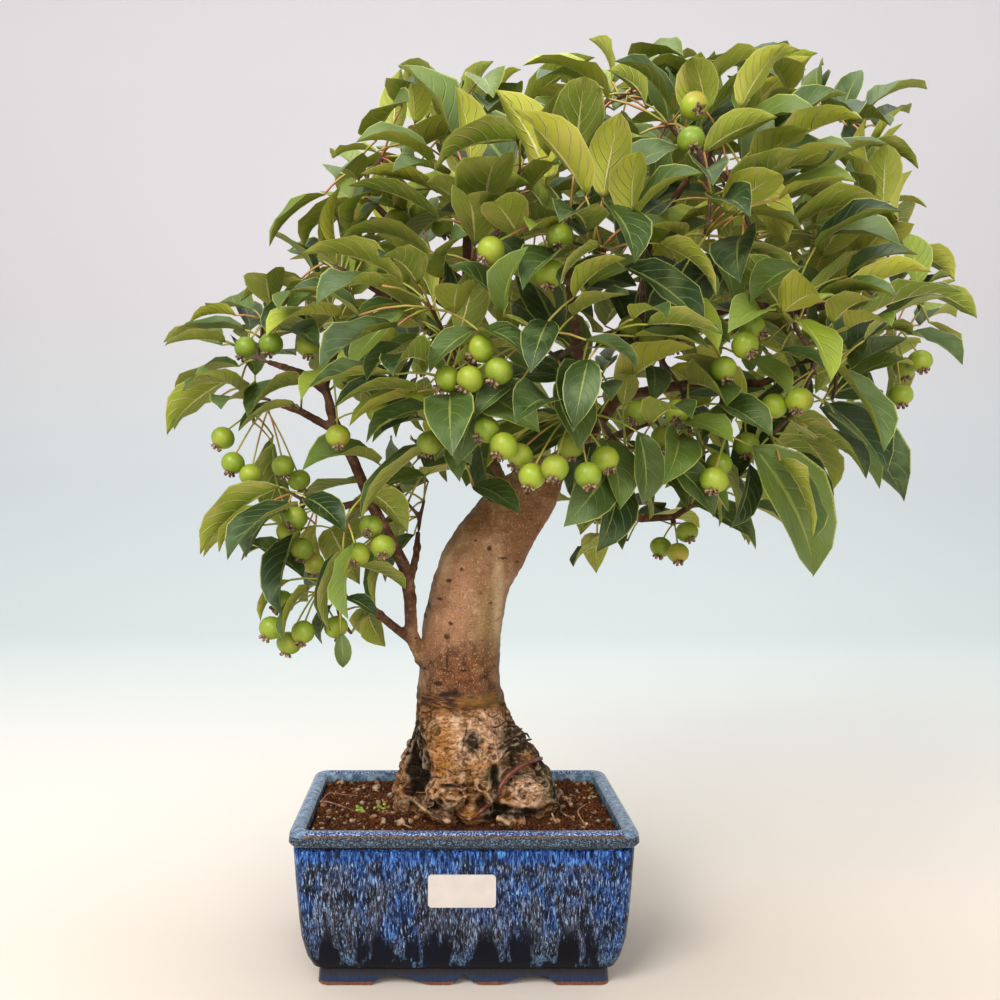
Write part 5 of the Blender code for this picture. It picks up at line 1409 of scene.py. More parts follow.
def round_goal(draw):
    """A place outside the crown, on any side, and one near the crown's surface there."""
    angle = draw.uniform(0.0, 2.0 * math.pi)
    rise = draw.uniform(-0.2, 1.0)
    flat = math.sqrt(max(1.0 - rise * rise, 0.0))
    way = Vector((math.cos(angle) * flat, math.sin(angle) * flat, rise))
    surface = Vector((way.x * CROWN_REACH[0], way.y * CROWN_REACH[1], way.z * CROWN_REACH[2] - 0.01))
    return CROWN_MIDDLE + way * RAY_START, CROWN_MIDDLE + surface * draw.uniform(0.6, 1.0)


def fitting_leaf(goal, near, outward, lines, room, draw):
    """Leaf near a goal that stays clear of all there is, and its owner, if one fits."""
    for attempt in range(3):
        place, owner = near[draw.randrange(len(near))]
        blade = new_blade(place, goal, outward, draw)
        stalk = (blade.base - blade.socket).length
        if not STALK_LENGTH[0] < stalk < STALK_LENGTH[1] or not in_reach(blade):
            continue
        if not inside_outline(*on_photo(blade.tip), CROWN_SEEN):
            continue
        points, faces = coarse_leaf(blade)
        if not hides(BVHTree.FromPolygons(points, faces), lines) and room.clear(points, faces):
            room.add(points, faces)
            return blade, owner
    return None


def fill_crown(room, sockets, guards, draw):
    """Further leaves from the twigs, where rays from the eye and from all round find the crown open."""
    low, high = packed_box
    added = []
    lines = [(POT_MIDDLE + EYE, guard) for guard in guards]
    tries = 0
    while tries < CROWN_TRIES and len(added) < CROWN_LEAVES:
        tries += 1
        front = tries % 5 < 3
        if front:
            ray = front_goal(draw)
        elif tries % 5 == 4:
            ray = limb_goal(sockets, draw)
        else:
            ray = round_goal(draw)
        if ray is None:
            continue
        start, goal = ray
        if not all(low[k] < goal[k] < high[k] for k in range(3)):
            continue
        reach = room.first(start, (goal - start).normalized())
        if reach is not None and reach < (goal - start).length + 0.015:
            continue
        near = sorted(sockets, key=lambda entry: (entry[0] - goal).length_squared)[:NEAR_SOCKETS]
        near = [entry for entry in near if SOCKET_REACH[0] < (entry[0] - goal).length < SOCKET_REACH[1]]
        if not near:
            continue
        outward = (goal - CROWN_MIDDLE).normalized()
        if front:
            outward = (outward + Vector((0.0, -0.6, 0.0))).normalized()
        leaf = fitting_leaf(goal, near, outward, lines, room, draw)
        if leaf is None:
            continue
        added.append(leaf)
        if len(room.fresh) > FRESH_MOST:
            room.settle()
    return added


def take_growths(room, draw):
    """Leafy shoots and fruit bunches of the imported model: each one's twig, and its leaves or fruits."""
    shoots = {}
    bunches = {}
    for name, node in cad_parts.items():
        if name.startswith("leafy_shoot"):
            growth = Growth(node)
            blades = [blade.vary(draw) for blade in growth.leaves()]
            shoots[name] = [growth.body(name + "_fine"), blades]
        elif name.startswith("fruit_bunch"):
            growth = Growth(node)
            fruits = growth.fruits()
            bunches[name] = [growth.body(name + "_fine"), fruits]
            room.add(*surface_of(node))
        elif name in ("tree_wood", "pot", "soil"):
            room.add(*surface_of(node))
    return shoots, bunches


def round_twigs(growths):
    """Seat every twig in what carries it, and round it."""
    trees = {name: tree_of(growths[name][0]) for name in growths}
    wood = tree_of(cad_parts["tree_wood"])
    for name in growths:
        rooted(growths[name][0], [wood] + [trees[other] for other in trees if other != name])
    for twig, _ in growths.values():
        fine_twig(twig)


def leaf_guards(shoots, room):
    """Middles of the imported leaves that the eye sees."""
    eye = POT_MIDDLE + EYE
    guards = []
    for _, blades in shoots.values():
        for blade in blades:
            point = blade.at(0.5, 0.0, 0.0)
            reach = room.first(eye, (point - eye).normalized())
            if reach is None or reach > (point - eye).length - 0.004:
                guards.append(point)
    return guards


def leaf_sockets(shoots):
    """Places on the twigs and limbs that an added leaf may grow from, a little under their surface."""
    sockets = []
    for name, (twig, _) in shoots.items():
        verts = twig.data.vertices
        for k in range(0, len(verts), 6):
            sockets.append((verts[k].co.copy() - verts[k].normal * 0.0006, name))
    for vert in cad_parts["tree_wood"].data.vertices:
        if vert.co.z > LIMB_HEIGHT:
            sockets.append((vert.co.copy() - vert.normal * 0.001, "limbs"))
    return sockets


def dress_shoots(shoots, limb_blades):
    """Fine leaves on the twigs, and on the limbs in four pieces."""
    form = leaf_form()
    for name, (twig, blades) in shoots.items():
        copies = [leaf_copy(form, blade) for blade in blades]
        piece = joined([*copies, barked(twig, LEAFY_FINISHES)], name + "_fine")
        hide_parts(name)
        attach(piece, "root")
    groups = {}
    for blade in limb_blades:
        side = "left" if blade.base.x < POT_MIDDLE.x + 0.04 else "right"
        side += "_front" if blade.base.y < POT_MIDDLE.y else "_back"
        groups.setdefault(side, []).append(blade)
    for side, blades in groups.items():
        piece = joined([leaf_copy(form, blade) for blade in blades], "limb_leaves_" + side)
        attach(piece, "root")
    bpy.data.objects.remove(form)


def fruit_stalk(fruit):
    """Stalk of a fruit, from inside its spur to inside the fruit."""
    foot = fruit.socket - (fruit.neck - fruit.socket).normalized() * 0.001
    bow = foot.lerp(fruit.neck, 0.5) + Vector((0.0, 0.0, (fruit.neck - foot).length * 0.05))
    deep = fruit.neck + fruit.axis * fruit.radius * 0.2
    route = curve_through([foot, bow, fruit.neck, deep], 3)
    tube = cord_tube("pedicel", route, [PEDICEL_RADIUS] * len(route), 5)
    finished(tube, FRUIT_FINISHES)
    set_faces(tube, material_index=STALK_PLACE)
    return tube


def dress_bunches(bunches, draw):
    """Fine fruits on their stalks and spurs."""
    form = fruit_form()
    for name, (twig, fruits) in bunches.items():
        parts = []
        for fruit in fruits:
            tint = draw.uniform(0.0, 1.0)
            parts.append(fruit_copy(form, fruit, tint, draw))
            parts.append(fruit_stalk(fruit))
        piece = joined([*parts, barked(twig, FRUIT_FINISHES)], name + "_fine")
        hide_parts(name)
        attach(piece, "root")
    bpy.data.objects.remove(form)


def make_crown():
    """Fine leaves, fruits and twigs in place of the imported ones, and the leaves added between them."""
    draw = random.Random(5)
    room = Room()
    shoots, bunches = take_growths(room, draw)
    round_twigs({**shoots, **bunches})
    in_front = list(bunches.values())[:BUNCHES_IN_FRONT]
    fruit_guards = [fruit.middle for _, fruits in in_front for fruit in fruits]
    put_aside(shoots, room, [(POT_MIDDLE + EYE, guard) for guard in fruit_guards], draw)
    guards = [seen(across, down, 0.0) for across, down in BARE_SEEN] + fruit_guards
    guards.extend(leaf_guards(shoots, room))
    limb_blades = []
    for blade, owner in fill_crown(room, leaf_sockets(shoots), guards, draw):
        if owner == "limbs":
            limb_blades.append(blade)
        else:
            shoots[owner][1].append(blade)
    dress_shoots(shoots, limb_blades)
    dress_bunches(bunches, draw)


def barked(twig, finishes):
    """Give a twig its growth's finishes, with bark on every face."""
    finished(twig, finishes)
    set_faces(twig, material_index=BARK_PLACE)
    return twig


# Wood

# Trunk's middle line as seen: pixel across, pixel down, radius
TRUNK_SEEN = [(470, 840, 0.046), (470, 780, 0.046), (465, 740, 0.038), (460, 690, 0.026),
              (461, 640, 0.0245), (468, 595, 0.0235), (490, 545, 0.0225), (527, 496, 0.020),
              (548, 472, 0.012), (566, 454, 0.008)]
TRUNK_ROUTE = [(seen(across, down, 0.0), radius) for across, down, radius in TRUNK_SEEN]
# Width over which the trunk's bark fades into the limbs', size of the remesh, and the cut's height
LIMB_FADE = 0.012
LIMB_VOXEL = 0.0011
LIMB_CUT = 0.118
# The smooth bark draws in by this much below the rough foot, between these heights
LIMB_SINK = 0.0035
SINK_HEIGHTS = (0.136, 0.152)
FOOT_VOXEL = 0.0007
# The rough foot ends under the smooth bark between these heights, and its own wood ends above them
FOOT_BORDER = (0.143, 0.158)
FOOT_TOP = 0.164
# Lumps of the foot as seen: pixel across, pixel down, depth, half width, half depth, half height
FOOT_LUMPS = [
    (458, 742, -0.016, 0.021, 0.018, 0.024), (444, 760, -0.022, 0.013, 0.013, 0.018),
    (474, 764, -0.024, 0.013, 0.012, 0.016), (451, 795, -0.040, 0.0092, 0.011, 0.0085),
    (474, 806, -0.036, 0.011, 0.008, 0.012), (527, 791, -0.022, 0.0155, 0.014, 0.0115),
    (545, 800, -0.016, 0.009, 0.010, 0.009), (512, 806, -0.030, 0.009, 0.008, 0.0065),
    (507, 820, -0.036, 0.006, 0.005, 0.005), (516, 822, -0.034, 0.0055, 0.005, 0.006),
    (437, 733, -0.016, 0.007, 0.006, 0.007), (405, 800, -0.010, 0.007, 0.010, 0.008),
    (507, 745, -0.008, 0.012, 0.012, 0.014), (524, 762, -0.006, 0.010, 0.012, 0.010),
    (540, 775, -0.004, 0.007, 0.010, 0.008),
]
# Rims, ridges and roots on the foot: radius, then a route as seen
FOOT_RIDGES = [
    (0.0040, [(427, 806, -0.045), (430, 794, -0.048), (437, 785, -0.049), (449, 779, -0.050),
              (463, 778, -0.050), (477, 782, -0.047), (487, 789, -0.045), (492, 797, -0.042)]),
    (0.0040, [(427, 708, -0.004), (421, 728, -0.005), (413, 744, -0.006), (407, 758, -0.007),
              (403, 776, -0.008)]),
    (0.0016, [(466, 786, -0.049), (476, 789, -0.050), (486, 794, -0.049), (491, 802, -0.047)]),
    (0.0018, [(433, 801, -0.050), (440, 790, -0.051), (451, 786, -0.051), (461, 789, -0.050),
              (466, 797, -0.049)]),
    (0.0030, [(424, 722, -0.010), (415, 745, -0.010), (408, 768, -0.011), (404, 790, -0.012),
              (400, 812, -0.013)]),
    (0.0026, [(434, 716, -0.018), (430, 740, -0.022), (431, 765, -0.028), (430, 790, -0.034),
              (427, 812, -0.036)]),
    (0.0016, [(500, 800, -0.036), (514, 808, -0.036), (530, 806, -0.036), (548, 800, -0.030),
              (560, 806, -0.026)]),
    (0.0013, [(411, 798, -0.036), (416, 804, -0.041), (422, 810, -0.045), (434, 817, -0.049),
              (450, 822, -0.053)]),
    (0.0020, [(497, 818, -0.046), (506, 823, -0.048), (512, 827, -0.050)]),
    (0.0018, [(556, 790, -0.012), (566, 798, -0.012), (572, 806, -0.014)]),
    (0.0022, [(480, 720, -0.020), (492, 742, -0.020), (499, 762, -0.022), (502, 780, -0.024)]),
]
# Scars on the foot: pixel across, pixel down, ring radius, and how deep the middle is; a sunken middle is
# also painted a little darker as shade
FOOT_SCARS = [(437, 730, 0.0040, -0.0008), (545, 784, 0.0024, 0.0007), (522, 794, 0.0034, 0.0003),
              (451, 794, 0.0050, -0.0012)]
# Hollows, carved in and painted dark as shade: pixel across and down, half width, half height, depth
HOLLOWS = [(418, 772, 0.0060, 0.0185, 0.0060), (495, 775, 0.0024, 0.0075, 0.0024),
           (482, 804, 0.0046, 0.0046, 0.0030), (504, 808, 0.0080, 0.0020, 0.0026),
           (452, 786, 0.0085, 0.0013, 0.0018), (438, 803, 0.0030, 0.0026, 0.0020),
           (432, 808, 0.0050, 0.0026, 0.0020), (520, 724, 0.0022, 0.0050, 0.0010)]
# Takes the fissures' pattern away from the flakes'
FISSURE_SHIFT = Vector((7.3, 1.1, 4.2))
# Rounds of evening out that hollows are measured against, and the depth of a full one, which gets the full
# painted shade
CAVITY_ROUNDS = 6
CAVITY_REACH = 0.00028


def trunk_share(place):
    """How much a place belongs to the trunk: 1 on it, 0 out on the limbs."""
    best = 0.0
    for (start, low), (end, high) in zip(TRUNK_ROUTE, TRUNK_ROUTE[1:]):
        way = end - start
        part = min(max((place - start).dot(way) / way.length_squared, 0.0), 1.0)
        away = (place - start - way * part).length
        radius = low + (high - low) * part
        best = max(best, 1.0 - min(max((away - radius * 1.15) / LIMB_FADE, 0.0), 1.0))
    return best


def step_between(value, low, high):
    """Smooth step of a number between two limits."""
    part = min(max((value - low) / (high - low), 0.0), 1.0)
    return part * part * (3.0 - 2.0 * part)


def remeshed(item, voxel, rounds=0):
    """Fuse an object's surface, and even it out."""
    weld = item.modifiers.new("remesh", "REMESH")
    weld.mode = "VOXEL"
    weld.voxel_size = voxel
    if rounds:
        even = item.modifiers.new("even", "SMOOTH")
        even.factor = 0.5
        even.iterations = rounds
    return apply_all(item)


def hollow_depths(mesh):
    """How far each point lies below the evened-out surface around it."""
    count = len(mesh.vertices)
    places = numpy.empty(count * 3)
    mesh.vertices.foreach_get("co", places)
    places = places.reshape(count, 3)
    normals = numpy.empty(count * 3)
    mesh.vertices.foreach_get("normal", normals)
    ends = numpy.empty(len(mesh.edges) * 2, dtype=int)
    mesh.edges.foreach_get("vertices", ends)
    here = numpy.concatenate([ends[0::2], ends[1::2]])
    there = numpy.concatenate([ends[1::2], ends[0::2]])
    share = numpy.maximum(numpy.bincount(here, minlength=count), 1)
    even = places
    for turn in range(CAVITY_ROUNDS):
        even = numpy.stack([numpy.bincount(here, even[there, k], count) / share for k in range(3)], axis=1)
    return ((even - places) * normals.reshape(count, 3)).sum(axis=1)


def make_limbs():
    """Smooth trunk and limbs, down into the rough foot."""
    item = merged_copy(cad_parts["tree_wood"], "smooth_wood")
    with editing():
        bpy.ops.mesh.bisect(plane_co=(0.0, 0.0, LIMB_CUT), plane_no=(0.0, 0.0, 1.0), use_fill=True,
                            clear_inner=True)
    swell = item.modifiers.new("swell", "DISPLACE")
    swell.strength = 0.0004
    swell.mid_level = 0.0
    remeshed(item, LIMB_VOXEL, 5)
    mesh = item.data
    normals = [vert.normal.copy() for vert in mesh.vertices]
    shares = []
    for vert, normal in zip(mesh.vertices, normals):
        place = vert.co.copy()
        thick = trunk_share(place)
        wide = noise.noise(place * 55.0) * 0.0011
        rings = noise.noise(Vector((place.x * 40.0, place.y * 40.0, place.z * 320.0))) * 0.00035
        fine = noise.noise(place * 300.0) * 0.00022
        knots = max(noise.noise(place * 120.0) - 0.35, 0.0) * 0.0022
        sink = LIMB_SINK * (1.0 - step_between(place.z, *SINK_HEIGHTS))
        vert.co += normal * ((wide + rings) * thick + fine + knots * (1.0 - 0.5 * thick) - sink)
        shares.append(1.0 - thick)
    store(mesh, "thin", shares)
    put_on(item, finish_of["smooth_bark"])
    smooth(item)
    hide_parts("tree_wood")
    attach(item, "root")
    return item


def marked(place, normal, move):
    """How far a place on the foot moves with its scars and hollows, and how much painted shade they give
    it.
    """
    across, down = on_photo(place)
    scale = (place.y - POT_MIDDLE.y - EYE.y) / FOCAL_PX
    ragged = 1.0 + 0.45 * noise.noise(place * 170.0)
    shade = 0.0
    facing = step_between(-normal.y, 0.05, 0.35)
    if facing == 0.0:
        return move, shade
    for scar_across, scar_down, radius, deep in FOOT_SCARS:
        away = math.hypot((across - scar_across) * scale, (down - scar_down) * scale * 0.85) * ragged
        if away < radius * 2.2:
            rim = math.exp(-((away - radius) / (radius * 0.35)) ** 2)
            inner = 1.0 - step_between(away, radius * 0.45, radius * 0.9)
            fade = 1.0 - step_between(away, radius, radius * 2.2)
            ripple = math.sin(away / radius * 9.0) * 0.00022 * fade
            move += (rim * 0.0004 - inner * deep * 0.4 + ripple) * facing
            shade = max(shade, inner * 0.3 * facing if deep > 0 else 0.0)
    for hollow_across, hollow_down, wide, high, deep in HOLLOWS:
        off = math.hypot((across - hollow_across) * scale / wide, (down - hollow_down) * scale / high)
        pit = (1.0 - step_between(off * ragged, 0.20, 1.40)) * facing
        move -= pit * deep
        shade = max(shade, pit)
    return move, shade


def store(mesh, name, values):
    """Store a value at each point of a mesh."""
    mesh.attributes.new(name, "FLOAT", "POINT").data.foreach_set("value", values)


def make_foot():
    """Rough foot of the trunk with its swellings, roots, scars and hollows, painted darker as shade in its
    hollows and recesses.
    """
    item = merged_copy(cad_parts["tree_wood"], "rough_foot")
    with editing():
        bpy.ops.mesh.bisect(plane_co=(0.0, 0.0, FOOT_TOP), plane_no=(0.0, 0.0, 1.0), use_fill=True,
                            clear_outer=True)
    parts = [item]
    for across, down, depth, wide, deep, high in FOOT_LUMPS:
        bpy.ops.mesh.primitive_ico_sphere_add(subdivisions=3, radius=1.0,
                                              location=seen(across, down, depth))
        lump = bpy.context.object
        lump.scale = (wide, deep, high)
        parts.append(settle(lump, "lump"))
    for radius, corners in FOOT_RIDGES:
        route = curve_through([seen(*corner) for corner in corners], 4)
        radii = [radius * (0.75 + 0.25 * math.sin(k * 1.7)) for k in range(len(route))]
        parts.append(cord_tube("ridge", route, radii, 8))
    item = joined(parts, "rough_foot")
    remeshed(item, FOOT_VOXEL, 3)
    mesh = item.data
    normals = [vert.normal.copy() for vert in mesh.vertices]
    # dark holds painted shade for the hollows and the sunken scar middles
    dark = []
    for vert, normal in zip(mesh.vertices, normals):
        place = vert.co.copy()
        flake = Vector((place.x * 75.0, place.y * 75.0, place.z * 135.0))
        flake = flake + noise.noise_vector(place * 45.0) * 0.8
        ridged = sum((0.5 - abs(noise.noise(flake * 2.0 ** k))) * 0.55 ** k for k in range(4)) - 0.85
        fissure = 1.0 - step_between(abs(noise.noise(flake * 0.8 + FISSURE_SHIFT)), 0.0, 0.09)
        fissure *= step_between(noise.noise(place * 70.0), -0.1, 0.25)
        lumps = noise.fractal(place * 55.0, 0.9, 2.0, 2)
        across, down = on_photo(place)
        wild = 1.0 + 0.9 * math.exp(-((across - 522) / 24.0) ** 2 - ((down - 750) / 30.0) ** 2)
        move = 0.0003 + lumps * 0.0012 + (ridged * 0.0016 - fissure * 0.0009) * wild
        move, shade = marked(place, normal, move)
        border = place.z + noise.fractal(place * 42.0, 0.9, 2.0, 3) * 0.009
        sink = step_between(border, *FOOT_BORDER)
        calm = 1.0 - 0.95 * step_between(border, FOOT_BORDER[0] - 0.010, FOOT_BORDER[1] - 0.006)
        vert.co += normal * (move * calm * (1.0 - sink) - 0.0014 * sink)
        dark.append(min(shade, 1.0))
    store(mesh, "dark", dark)
    depth = hollow_depths(mesh) / CAVITY_REACH
    # Painted shade in the recesses, fuller the deeper they lie below the evened-out surface
    store(mesh, "cavity_shade", numpy.clip(depth - 0.15, 0.0, 1.0))
    store(mesh, "crest", numpy.clip(-depth - 0.3, 0.0, 1.0))
    put_on(item, finish_of["rough_bark"])
    smooth(item)
    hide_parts("tree_wood")
    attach(item, "root")
    return item


# Pot and what lies in it

# The foot's inset from the rim and its wall, the floor's height, and the drain holes
FOOT_INSET = 0.0147
FOOT_WALL = 0.009
FLOOR_UNDER = 0.009
DRAIN_OFFSET = 0.038
DRAIN_RADIUS = 0.008
# Radius of the foot's corners, and width of the rounded edges
CORNER_RADIUS = 0.0062
EDGE_WIDTH = 0.0007
# Pot's section above its foot, up the outside and down the inside: inset from the rim at the ends, inset
# at the front and back, and height
POT_SECTION = [
    (0.0152, 0.0156, 0.0084), (0.0118, 0.0128, 0.0104), (0.0088, 0.0102, 0.0165), (0.0061, 0.0078, 0.0275),
    (0.0047, 0.0065, 0.0400), (0.0033, 0.0048, 0.0590), (0.0022, 0.0034, 0.0770), (0.0036, 0.0046, 0.0781),
    (0.0040, 0.0050, 0.0792), (0.0012, 0.0014, 0.0799), (0.0, 0.0, 0.0818), (0.0004, 0.0004, 0.0864),
    (0.0020, 0.0020, 0.0877), (0.0042, 0.0042, 0.0880), (0.0068, 0.0068, 0.0877), (0.0085, 0.0085, 0.0862),
    (0.0092, 0.0092, 0.0740), (0.0125, 0.0125, 0.0280), (0.0165, 0.0165, 0.0190), (0.0215, 0.0215, 0.0160),
]
# Openings between the feet: places along the side and heights, on the front and back and on both ends
FRONT_ARCHES = [
    [(-0.0510, 0.0), (-0.0492, 0.0014), (-0.0470, 0.0034), (-0.0440, 0.0046), (-0.0400, 0.0050),
     (-0.0350, 0.0047), (-0.0300, 0.0036), (-0.0250, 0.0020), (-0.0215, 0.0008), (-0.0190, 0.0)],
    [(-0.0085, 0.0), (-0.0060, 0.0009), (-0.0038, 0.0022), (-0.0015, 0.0042), (0.0003, 0.0050),
     (0.0021, 0.0042), (0.0044, 0.0022), (0.0066, 0.0009), (0.0091, 0.0)],
    [(0.0196, 0.0), (0.0221, 0.0008), (0.0256, 0.0020), (0.0306, 0.0036), (0.0356, 0.0047),
     (0.0406, 0.0050), (0.0446, 0.0046), (0.0476, 0.0034), (0.0498, 0.0014), (0.0516, 0.0)],
]
SIDE_ARCH = [(-0.0230, 0.0), (-0.0212, 0.0014), (-0.0190, 0.0034), (-0.0155, 0.0047), (0.0, 0.0050),
             (0.0155, 0.0047), (0.0190, 0.0034), (0.0212, 0.0014), (0.0230, 0.0)]


def cut(item, cutter):
    """Cut one object out of another."""
    tool = item.modifiers.new("cut", "BOOLEAN")
    tool.operation = "DIFFERENCE"
    tool.object = cutter
    tool.solver = "EXACT"
    apply_all(item)
    bpy.data.objects.remove(cutter)


def arch_cutter(outline, along, through):
    """Solid to cut an opening between the feet with, right through the pot's foot."""
    under = [(outline[-1][0] + 0.0004, -0.002), (outline[0][0] - 0.0004, -0.002)]
    points = [POT_MIDDLE + along * place + Vector((0.0, 0.0, height)) - through * 0.15
              for place, height in outline + under]
    arch = new_mesh("arch", points, [tuple(range(len(points)))])
    only(arch)
    with editing():
        bpy.ops.mesh.extrude_region_move(TRANSFORM_OT_translate={"value": through * 0.3})
        bpy.ops.mesh.select_all(action="SELECT")
        bpy.ops.mesh.normals_make_consistent(inside=False)
    return arch


def make_pot():
    """Pot drawn up from its foot through its section, with arches and drain holes."""
    bpy.ops.mesh.primitive_plane_add(size=1.0, location=POT_MIDDLE)
    pot = bpy.context.object
    pot.scale = (2.0 * (RIM_HALF[0] - FOOT_INSET), 2.0 * (RIM_HALF[1] - FOOT_INSET), 1.0)
    settle(pot, "glazed_pot")
    with editing():
        bpy.ops.mesh.bevel(offset=CORNER_RADIUS, segments=6, affect="VERTICES")
        bpy.ops.mesh.select_all(action="SELECT")
        before = (FOOT_INSET, FOOT_INSET, 0.0)
        for step in POT_SECTION:
            rise = (0.0, 0.0, step[2] - before[2])
            bpy.ops.mesh.extrude_region_move(TRANSFORM_OT_translate={"value": rise})
            share = [(RIM_HALF[k] - step[k]) / (RIM_HALF[k] - before[k]) for k in range(2)]
            bpy.ops.transform.resize(value=(*share, 1.0), center_override=(*POT_MIDDLE.xy, step[2]))
            before = step
        bpy.ops.mesh.select_all(action="SELECT")
        bpy.ops.mesh.normals_make_consistent(inside=False)
        pick(pot, lambda place, normal: place.z < 0.0005 and normal.z < -0.9, "faces")
        bpy.ops.mesh.inset(thickness=FOOT_WALL, depth=0.0)
        bpy.ops.mesh.extrude_region_move(TRANSFORM_OT_translate={"value": (0.0, 0.0, FLOOR_UNDER)})
    for outline in FRONT_ARCHES:
        cut(pot, arch_cutter(outline, Vector((1.0, 0.0, 0.0)), Vector((0.0, 1.0, 0.0))))
    cut(pot, arch_cutter(SIDE_ARCH, Vector((0.0, 1.0, 0.0)), Vector((1.0, 0.0, 0.0))))
    for side in (-1, 1):
        place = POT_MIDDLE + Vector((side * DRAIN_OFFSET, 0.0, 0.0125))
        bpy.ops.mesh.primitive_cylinder_add(vertices=28, radius=DRAIN_RADIUS, depth=0.03, location=place)
        cut(pot, settle(bpy.context.object, "drain"))
    edge = pot.modifiers.new("edge", "BEVEL")
    edge.width = EDGE_WIDTH
    edge.segments = 3
    edge.limit_method = "ANGLE"
    edge.angle_limit = math.radians(24.0)
    edge.use_clamp_overlap = True
    apply_all(pot)
    smooth(pot, 40)
    put_on(pot, finish_of["pot_glaze"])
    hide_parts("pot")
    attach(pot, "root")
    return pot


SOIL_VOXEL = 0.0014
# Lower than this the soil's surface stays smooth, and nothing lies on it
SOIL_TOP = 0.078


def make_soil():
    """Soil with a crumbly top."""
    item = merged_copy(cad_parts["soil"], "soil_fill")
    remeshed(item, SOIL_VOXEL)
    normals = [vert.normal.copy() for vert in item.data.vertices]
    for vert, normal in zip(item.data.vertices, normals):
        if normal.z < 0.5 or vert.co.z < SOIL_TOP:
            continue
        place = vert.co
        lumps = noise.fractal(place * 120.0, 0.9, 2.0, 4) * 0.0016
        vert.co.z += lumps + noise.noise(place * 520.0) * 0.0008
    put_on(item, finish_of["soil_mix"])
    smooth(item)
    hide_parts("soil")
    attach(item, "root")
    return item


def on_surface(tree, across, down, lift=0.0):
    """Point of a surface that the photograph shows at a pixel, raised a little."""
    eye = POT_MIDDLE + EYE
    place, normal = tree.ray_cast(eye, (seen(across, down, 0.0) - eye).normalized())[:2]
    if place is None:
        place, normal = tree.find_nearest(seen(across, down, 0.0))[:2]
    return place + normal * lift


# Half length and half width of where the crumbs lie
CRUMB_REACH = (0.085, 0.055)
# Crumbs on the soil: piece, finish, how many, and their least and greatest half width
CRUMBS = [("soil_crumbs", "soil_mix", 1100, (0.0007, 0.0024)),
          ("pale_crumbs", "pale_grit", 150, (0.0005, 0.0018)),
          ("brown_crumbs", "brown_grit", 260, (0.0006, 0.0024)),
          ("dark_crumbs", "dark_humus", 220, (0.0006, 0.0018)),
          ("red_crumbs", "red_bits", 30, (0.0004, 0.0010))]
# Larger pale lumps as seen: pixel across, pixel down, half width
PALE_LUMPS = [(340, 784, 0.0028), (377, 789, 0.0030), (391, 797, 0.0026), (366, 798, 0.0016),
              (329, 812, 0.0019), (384, 822, 0.0024), (402, 824, 0.0028), (411, 822, 0.0020),
              (352, 822, 0.0018), (562, 808, 0.0021), (569, 800, 0.0018), (586, 826, 0.0019),
              (360, 775, 0.0016), (352, 790, 0.0015), (321, 824, 0.0014), (373, 779, 0.0020),
              (404, 812, 0.0018), (574, 783, 0.0017), (598, 822, 0.0016), (420, 800, 0.0022)]
# Dry stems, roots and stubs: what each lies on, its finish, its radius at both ends, and a route of pixels
# with a lift off what lies there
DRY_STEMS = [
    ("soil", "pink_stem", 0.0005, 0.0003,
     [(315, 799, 0.006), (330, 797, 0.005), (345, 798, 0.004), (358, 798, 0.003)]),
    ("soil", "pink_stem", 0.0006, 0.0003,
     [(314, 801, 0.006), (328, 806, 0.005), (343, 810, 0.004), (358, 814, 0.002)]),
    ("soil", "tan_root", 0.0006, 0.0003, [(395, 822, 0.001), (403, 826, 0.002), (412, 829, 0.001)]),
    ("soil", "tan_root", 0.0005, 0.0003, [(560, 812, 0.001), (566, 818, 0.003), (574, 819, 0.001)]),
    ("soil", "tan_root", 0.0006, 0.0003, [(556, 825, 0.001), (552, 817, 0.004), (560, 830, 0.001)]),
    ("soil", "tan_root", 0.0006, 0.0004, [(585, 826, 0.001), (578, 815, 0.004), (586, 805, 0.001)]),
    ("foot", "red_stalk", 0.0013, 0.0012,
     [(541, 759, 0.0005), (532, 763, 0.0022), (520, 770, 0.0040), (508, 780, 0.0048), (501, 789, 0.0040),
      (499, 794, 0.0032)]),
    ("foot", "red_stalk", 0.0012, 0.0010,
     [(500, 795, 0.0030), (494, 803, 0.0042), (484, 812, 0.0042), (474, 820, 0.0030), (465, 827, 0.0010)]),
    ("foot", "dark_humus", 0.0009, 0.0004, [(520, 738, 0.0), (526, 737, 0.004), (533, 736, 0.007)]),
    ("foot", "dark_humus", 0.0010, 0.0005, [(519, 743, 0.0), (526, 744, 0.004), (534, 743, 0.007)]),
    ("foot", "dark_humus", 0.0008, 0.0004, [(514, 734, 0.0), (518, 733, 0.003), (522, 732, 0.004)]),
    ("foot", "tan_root", 0.0011, 0.0007,
     [(411, 799, 0.001), (418, 806, 0.0022), (428, 814, 0.0022), (440, 819, 0.0016), (450, 822, 0.0006)]),
    ("foot", "tan_root", 0.0016, 0.0013, [(497, 819, 0.001), (503, 822, 0.002), (510, 826, 0.001)]),
    ("foot", "tan_root", 0.0005, 0.0003, [(512, 820, 0.001), (515, 825, 0.003), (514, 831, 0.001)]),
    ("foot", "tan_root", 0.0006, 0.0003, [(556, 786, 0.001), (564, 792, 0.003), (568, 801, 0.001)]),
    ("foot", "tan_root", 0.0004, 0.0002, [(430, 790, 0.001), (424, 795, 0.003), (416, 793, 0.001)]),
    ("foot", "tan_root", 0.0004, 0.0002, [(444, 806, 0.001), (442, 813, 0.002), (444, 820, 0.001)]),
]
# Green tufts as seen: pixel across, pixel down, size; and how many bits make one
TUFT_BITS = 12
GREEN_TUFTS = [(361, 813, 0.0029), (380, 810, 0.0026), (547, 814, 0.0013), (590, 790, 0.0011)]


